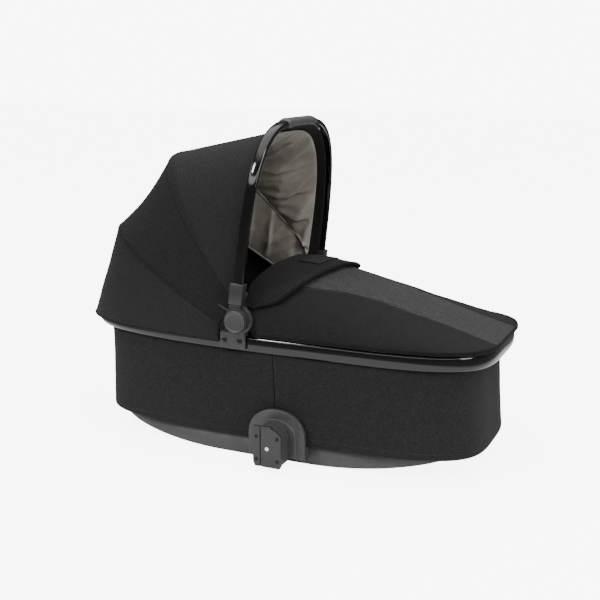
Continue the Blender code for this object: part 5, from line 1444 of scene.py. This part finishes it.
def smooth_table(table, at):
    """A table's value at a place, with rounded corners between its points."""
    places, values = np.array(table).T
    spread = np.linspace(-0.5, 0.5, 9) * (places[-1] - places[0]) * 0.08
    return float(np.mean(np.interp(np.clip(at + spread, places[0], places[-1]), places, values)))


def apron_half_width(x):
    end = 1 if x > WIDEST_X else -1
    widest, reach, power = end_shape(end, -APRON_END_OVERHANG, 0.0)
    gone = min(1.0, abs(x - widest) / reach)
    return (RIM_WIDTH / 2 - APRON_SIDE_INSET) * (1 - gone**power) ** (1 / power)


def apron_head_x(across):
    return APRON_HEM_X - APRON_HEAD_REACH * smooth_table(APRON_HEAD_TABLE, abs(across))


def apron_point(x, across, lift=0.0):
    """A place on the apron, from -1 at its right hem over its crest to 1 at its left hem."""
    share = (x - APRON_HEAD_X) / (APRON_END_X - APRON_HEAD_X)
    height = APRON_HEIGHT * smooth_table(APRON_CREST_TABLE, share)
    toward_foot = min(1.0, max(0.0, (x - APRON_ROUND_FROM) / APRON_ROUND_OVER))
    power = blend(APRON_POWER, APRON_FOOT_POWER, toward_foot)
    up, out = power_point(math.pi / 2 * (1 - abs(across)), power)[::-1]
    y = math.copysign((apron_half_width(x) + lift) * out, across)
    return np.array((x, y, APRON_HEM_Z + (height + lift) * up))


APRON_CORE = np.array((WIDEST_X, 0.0, RIM_UNDERSIDE))
apron_rows, from_seams = [], []
for step in range(APRON_ROWS):
    share = (step / (APRON_ROWS - 1)) ** 0.96
    row = []
    for j in range(APRON_COUNT):
        across = 2 * j / (APRON_COUNT - 1) - 1
        x = blend(apron_head_x(across), APRON_END_X, share)
        point = apron_point(x, across)
        from_seam = smooth_table(APRON_SEAM_TABLE, x) - abs(point[1])
        from_seams.append(from_seam)
        edge_hold = min(1.0, (1 - abs(across)) / 0.1) * min(1.0, (1 - share) / 0.06)
        soft = noise_value(point, 0.06, 31.0) + 0.5 * noise_value(point, 0.022, 32.0)
        drawn = (math.sin(60.0 * x + 3.0 * noise_value((x, 0, 0), 0.05, 33.0))
                 * math.exp(-(1 - abs(across)) / 0.12))
        puff = 0.0007 * bell(abs(from_seam), 0.008, 0.005)
        groove = APRON_GROOVE * bell(from_seam, 0.0, 0.0024)
        move = edge_hold * (0.0011 * soft + 0.0005 * drawn + puff - groove)
        out = (point - APRON_CORE) * (0.15, 1.0, 1.0)
        row.append(point + unit(out) * max(move, -APRON_GROOVE))
    apron_rows.append(row)
apron_mesh = sheet_mesh("apron_cloth", apron_rows, APRON_CORE)
seam_attribute = apron_mesh.attributes.new("from_seam", "FLOAT", "POINT")
seam_attribute.data.foreach_set("value", np.array(from_seams, np.float32))


def apron_material(name, side_colours, top_colours):
    """Flecked top cloth and darker side cloth, parted at the sunk seam with painted shade in it."""
    made, tree, shader = new_material(name)
    seam = add(tree, "ShaderNodeAttribute", out="Fac", attribute_name="from_seam")
    threads = use_group(tree, weave, place_in(tree, "UV"), Pitch=0.0012, Twill=0.6)
    fibres = use_group(tree, melange, place_in(tree, "Object"), Size=520.0)
    shade = maths(tree, "MULTIPLY_ADD", threads["Slub"], 0.5, fibres["Mask"])
    sides = between(tree, ramp(tree, shade, 0.1, 1.3), *side_colours)
    top = between(tree, ramp(tree, shade, 0.1, 1.2), *top_colours)
    whole = between(tree, ramp(tree, seam, -0.0004, 0.0006), sides, top)
    # Painted shade: the cloth turns near black along the sunk seam line.
    sunk = ramp(tree, maths(tree, "ABSOLUTE", seam), 0.0003, 0.0016)
    height = maths(tree, "MULTIPLY_ADD", threads["Slub"], 0.6, threads["Height"])
    cloth_shader(tree, shader, between(tree, sunk, (0.0022, 0.0022, 0.0023), whole), 0.9,
                 bump(tree, height, 0.5, 0.00025))
    return made


APRON_CLOTH = apron_material(
    "apron_cloth", ((0.0065, 0.0065, 0.0068), (0.0125, 0.0125, 0.013)),
    ((0.014, 0.014, 0.0144), (0.044, 0.044, 0.045)))
APRON_BINDING = woven_cloth("apron_binding", (0.0035, 0.0035, 0.0037), (0.0065, 0.0065, 0.0068),
                            pitch=0.0008)
apron = piece("apron_cloth", apron_mesh, APRON_CLOTH, "apron", "apron_cloth", "apron")
wall(apron, APRON_CLOTH_THICKNESS, offset=1.0)


def apron_outline(lift, count):
    """The whole hem of the apron, from its right head corner round the foot to the left."""
    line_points = []
    for k in range(count):
        at = k / (count - 1)
        x = APRON_HEM_X + (APRON_END_X - HEM_TAPE_BACK - APRON_HEM_X) * math.sin(math.pi * at)
        line_points.append(apron_point(x, -1 if at < 0.5 else 1, lift))
    return evenly(line_points, count)


hem_line = apron_outline(HEM_TAPE_OUT, 360)
hem_line[:, 2] = APRON_HEM_Z + HEM_TAPE_HEIGHT / 2
piping("apron_hem_binding", hem_line, HEM_TAPE_HEIGHT / 2, APRON_BINDING, "apron", "apron_cloth",
       flatten=HEM_TAPE_THICKNESS / HEM_TAPE_HEIGHT)
head_line = [apron_point(apron_head_x(across), across, APRON_CLOTH_THICKNESS / 2)
             for across in np.linspace(-0.995, 0.995, 160)]
piping("apron_head_binding", head_line, APRON_HEAD_BINDING, APRON_BINDING, "apron", "apron_cloth")


def apron_seam_line(sign, off):
    """A line of stitching beside a seam of the apron. It is found by halving."""
    line_points = []
    for x in np.linspace(*APRON_STITCH_SPAN, 170):
        wanted = smooth_table(APRON_SEAM_TABLE, x) + off
        low, high = 0.0, 1.0
        for _ in range(30):
            middle = (low + high) / 2
            if apron_point(x, middle)[1] < wanted:
                low = middle
            else:
                high = middle
        line_points.append(apron_point(x, sign * low, APRON_STITCH_LIFT))
    return line_points


stitched("apron_seam_stitching", [
    apron_seam_line(sign, off) for sign in (-1, 1) for off in (-APRON_STITCH_OFF, APRON_STITCH_OFF)
], "apron", "apron_cloth")


# Wind flap. A padded tongue of the same dark cloth is folded back from the head edge of the
# apron. Its free edge is piped, and a plain woven tab is sewn near the fold.
FLAP_LIFT = APRON_CLOTH_THICKNESS + 0.0016
FLAP_THICKNESS = 0.0060
FLAP_WALL = 0.0044
FLAP_REACH = 0.0985
FLAP_ACROSS = 0.74
FLAP_EDGE_TABLE = (
    (0.0, 1.0), (0.27, 1.015), (0.486, 0.983), (0.635, 0.966), (0.81, 0.80),
    (0.905, 0.574), (0.96, 0.29), (1.0, 0.06),
)
FLAP_SKEW = 0.0190
FLAP_LIP = 0.0048
FLAP_COUNT = 121
FLAP_ROWS = 25
FLAP_PUFF = 0.0009
FLAP_SEAM_GAP = 0.0006
FLAP_PIPING = 0.0032
FLAP_STITCH_ALONG = 0.93
FLAP_EDGE_COUNT = 260
TAB_SHARES, TAB_ALONG = (-0.04, 0.32), (0.30, 0.74)
TAB_THICKNESS = 0.0006


def flap_point(share, along, lift):
    """A place on the folded flap, which lies a little askew and lifts towards its free edge."""
    across = share * FLAP_ACROSS
    skew = FLAP_SKEW * share * (1 - share**4)
    reach = FLAP_REACH * smooth_table(FLAP_EDGE_TABLE, abs(share)) + skew
    lip = FLAP_LIP * along**3 * (1 - share**6)
    return apron_point(apron_head_x(across) + reach * along, across, lift + lip)


def eased(count, reach=1.0):
    """Shares from -reach to reach of a half turn, closer together at the ends."""
    return np.sin(np.pi / 2 * np.linspace(-reach, reach, count))


flap_alongs = np.linspace(0.0, 1.0, FLAP_ROWS)
flap_rows = []
for along in flap_alongs:
    row = []
    for share in eased(FLAP_COUNT):
        soft = noise_value((share * 0.12, along * 0.05, 0.0), 0.035, 41.0)
        held = math.sin(math.pi * along) ** 0.6 * min(1.0, (1 - abs(share)) / 0.08)
        row.append(flap_point(share, along, FLAP_LIFT + FLAP_PUFF * held * (1.0 + soft)))
    flap_rows.append(row)
FLAP_CLOTH = woven_cloth("flap_cloth", (0.0055, 0.0055, 0.0058), (0.0115, 0.0115, 0.012), twill=0.4)
flap = piece("wind_flap_cloth", sheet_mesh("wind_flap_cloth", flap_rows, APRON_CORE), FLAP_CLOTH,
             None, "apron_cloth", "apron_flap")
wall(flap, FLAP_WALL, offset=1.0)
bending(flap)
flap_edge = [flap_point(share, 1.0, FLAP_LIFT + FLAP_THICKNESS / 2 - FLAP_SEAM_GAP)
             for share in eased(FLAP_EDGE_COUNT)]
piping("wind_flap_piping", evenly(flap_edge, FLAP_EDGE_COUNT), FLAP_PIPING, APRON_BINDING, "flap",
       "apron_cloth")
stitched("wind_flap_stitching", [
    [flap_point(share, FLAP_STITCH_ALONG, FLAP_LIFT + FLAP_THICKNESS - FLAP_SEAM_GAP)
     for share in eased(220, 0.97)],
], "flap", "apron_cloth")

TAB_CLOTH = woven_cloth("tab_ribbon", (0.011, 0.011, 0.0115), (0.020, 0.020, 0.0205), pitch=0.0006)
tab_rows = [
    [flap_point(share, along, FLAP_LIFT + FLAP_THICKNESS + FLAP_SEAM_GAP)
     for share in np.linspace(*TAB_SHARES, 25)]
    for along in np.linspace(*TAB_ALONG, 9)
]
tab = piece("wind_flap_plain_tab", sheet_mesh("wind_flap_plain_tab", tab_rows, APRON_CORE),
            TAB_CLOTH, "flap", "apron_cloth")
wall(tab, TAB_THICKNESS, offset=1.0)
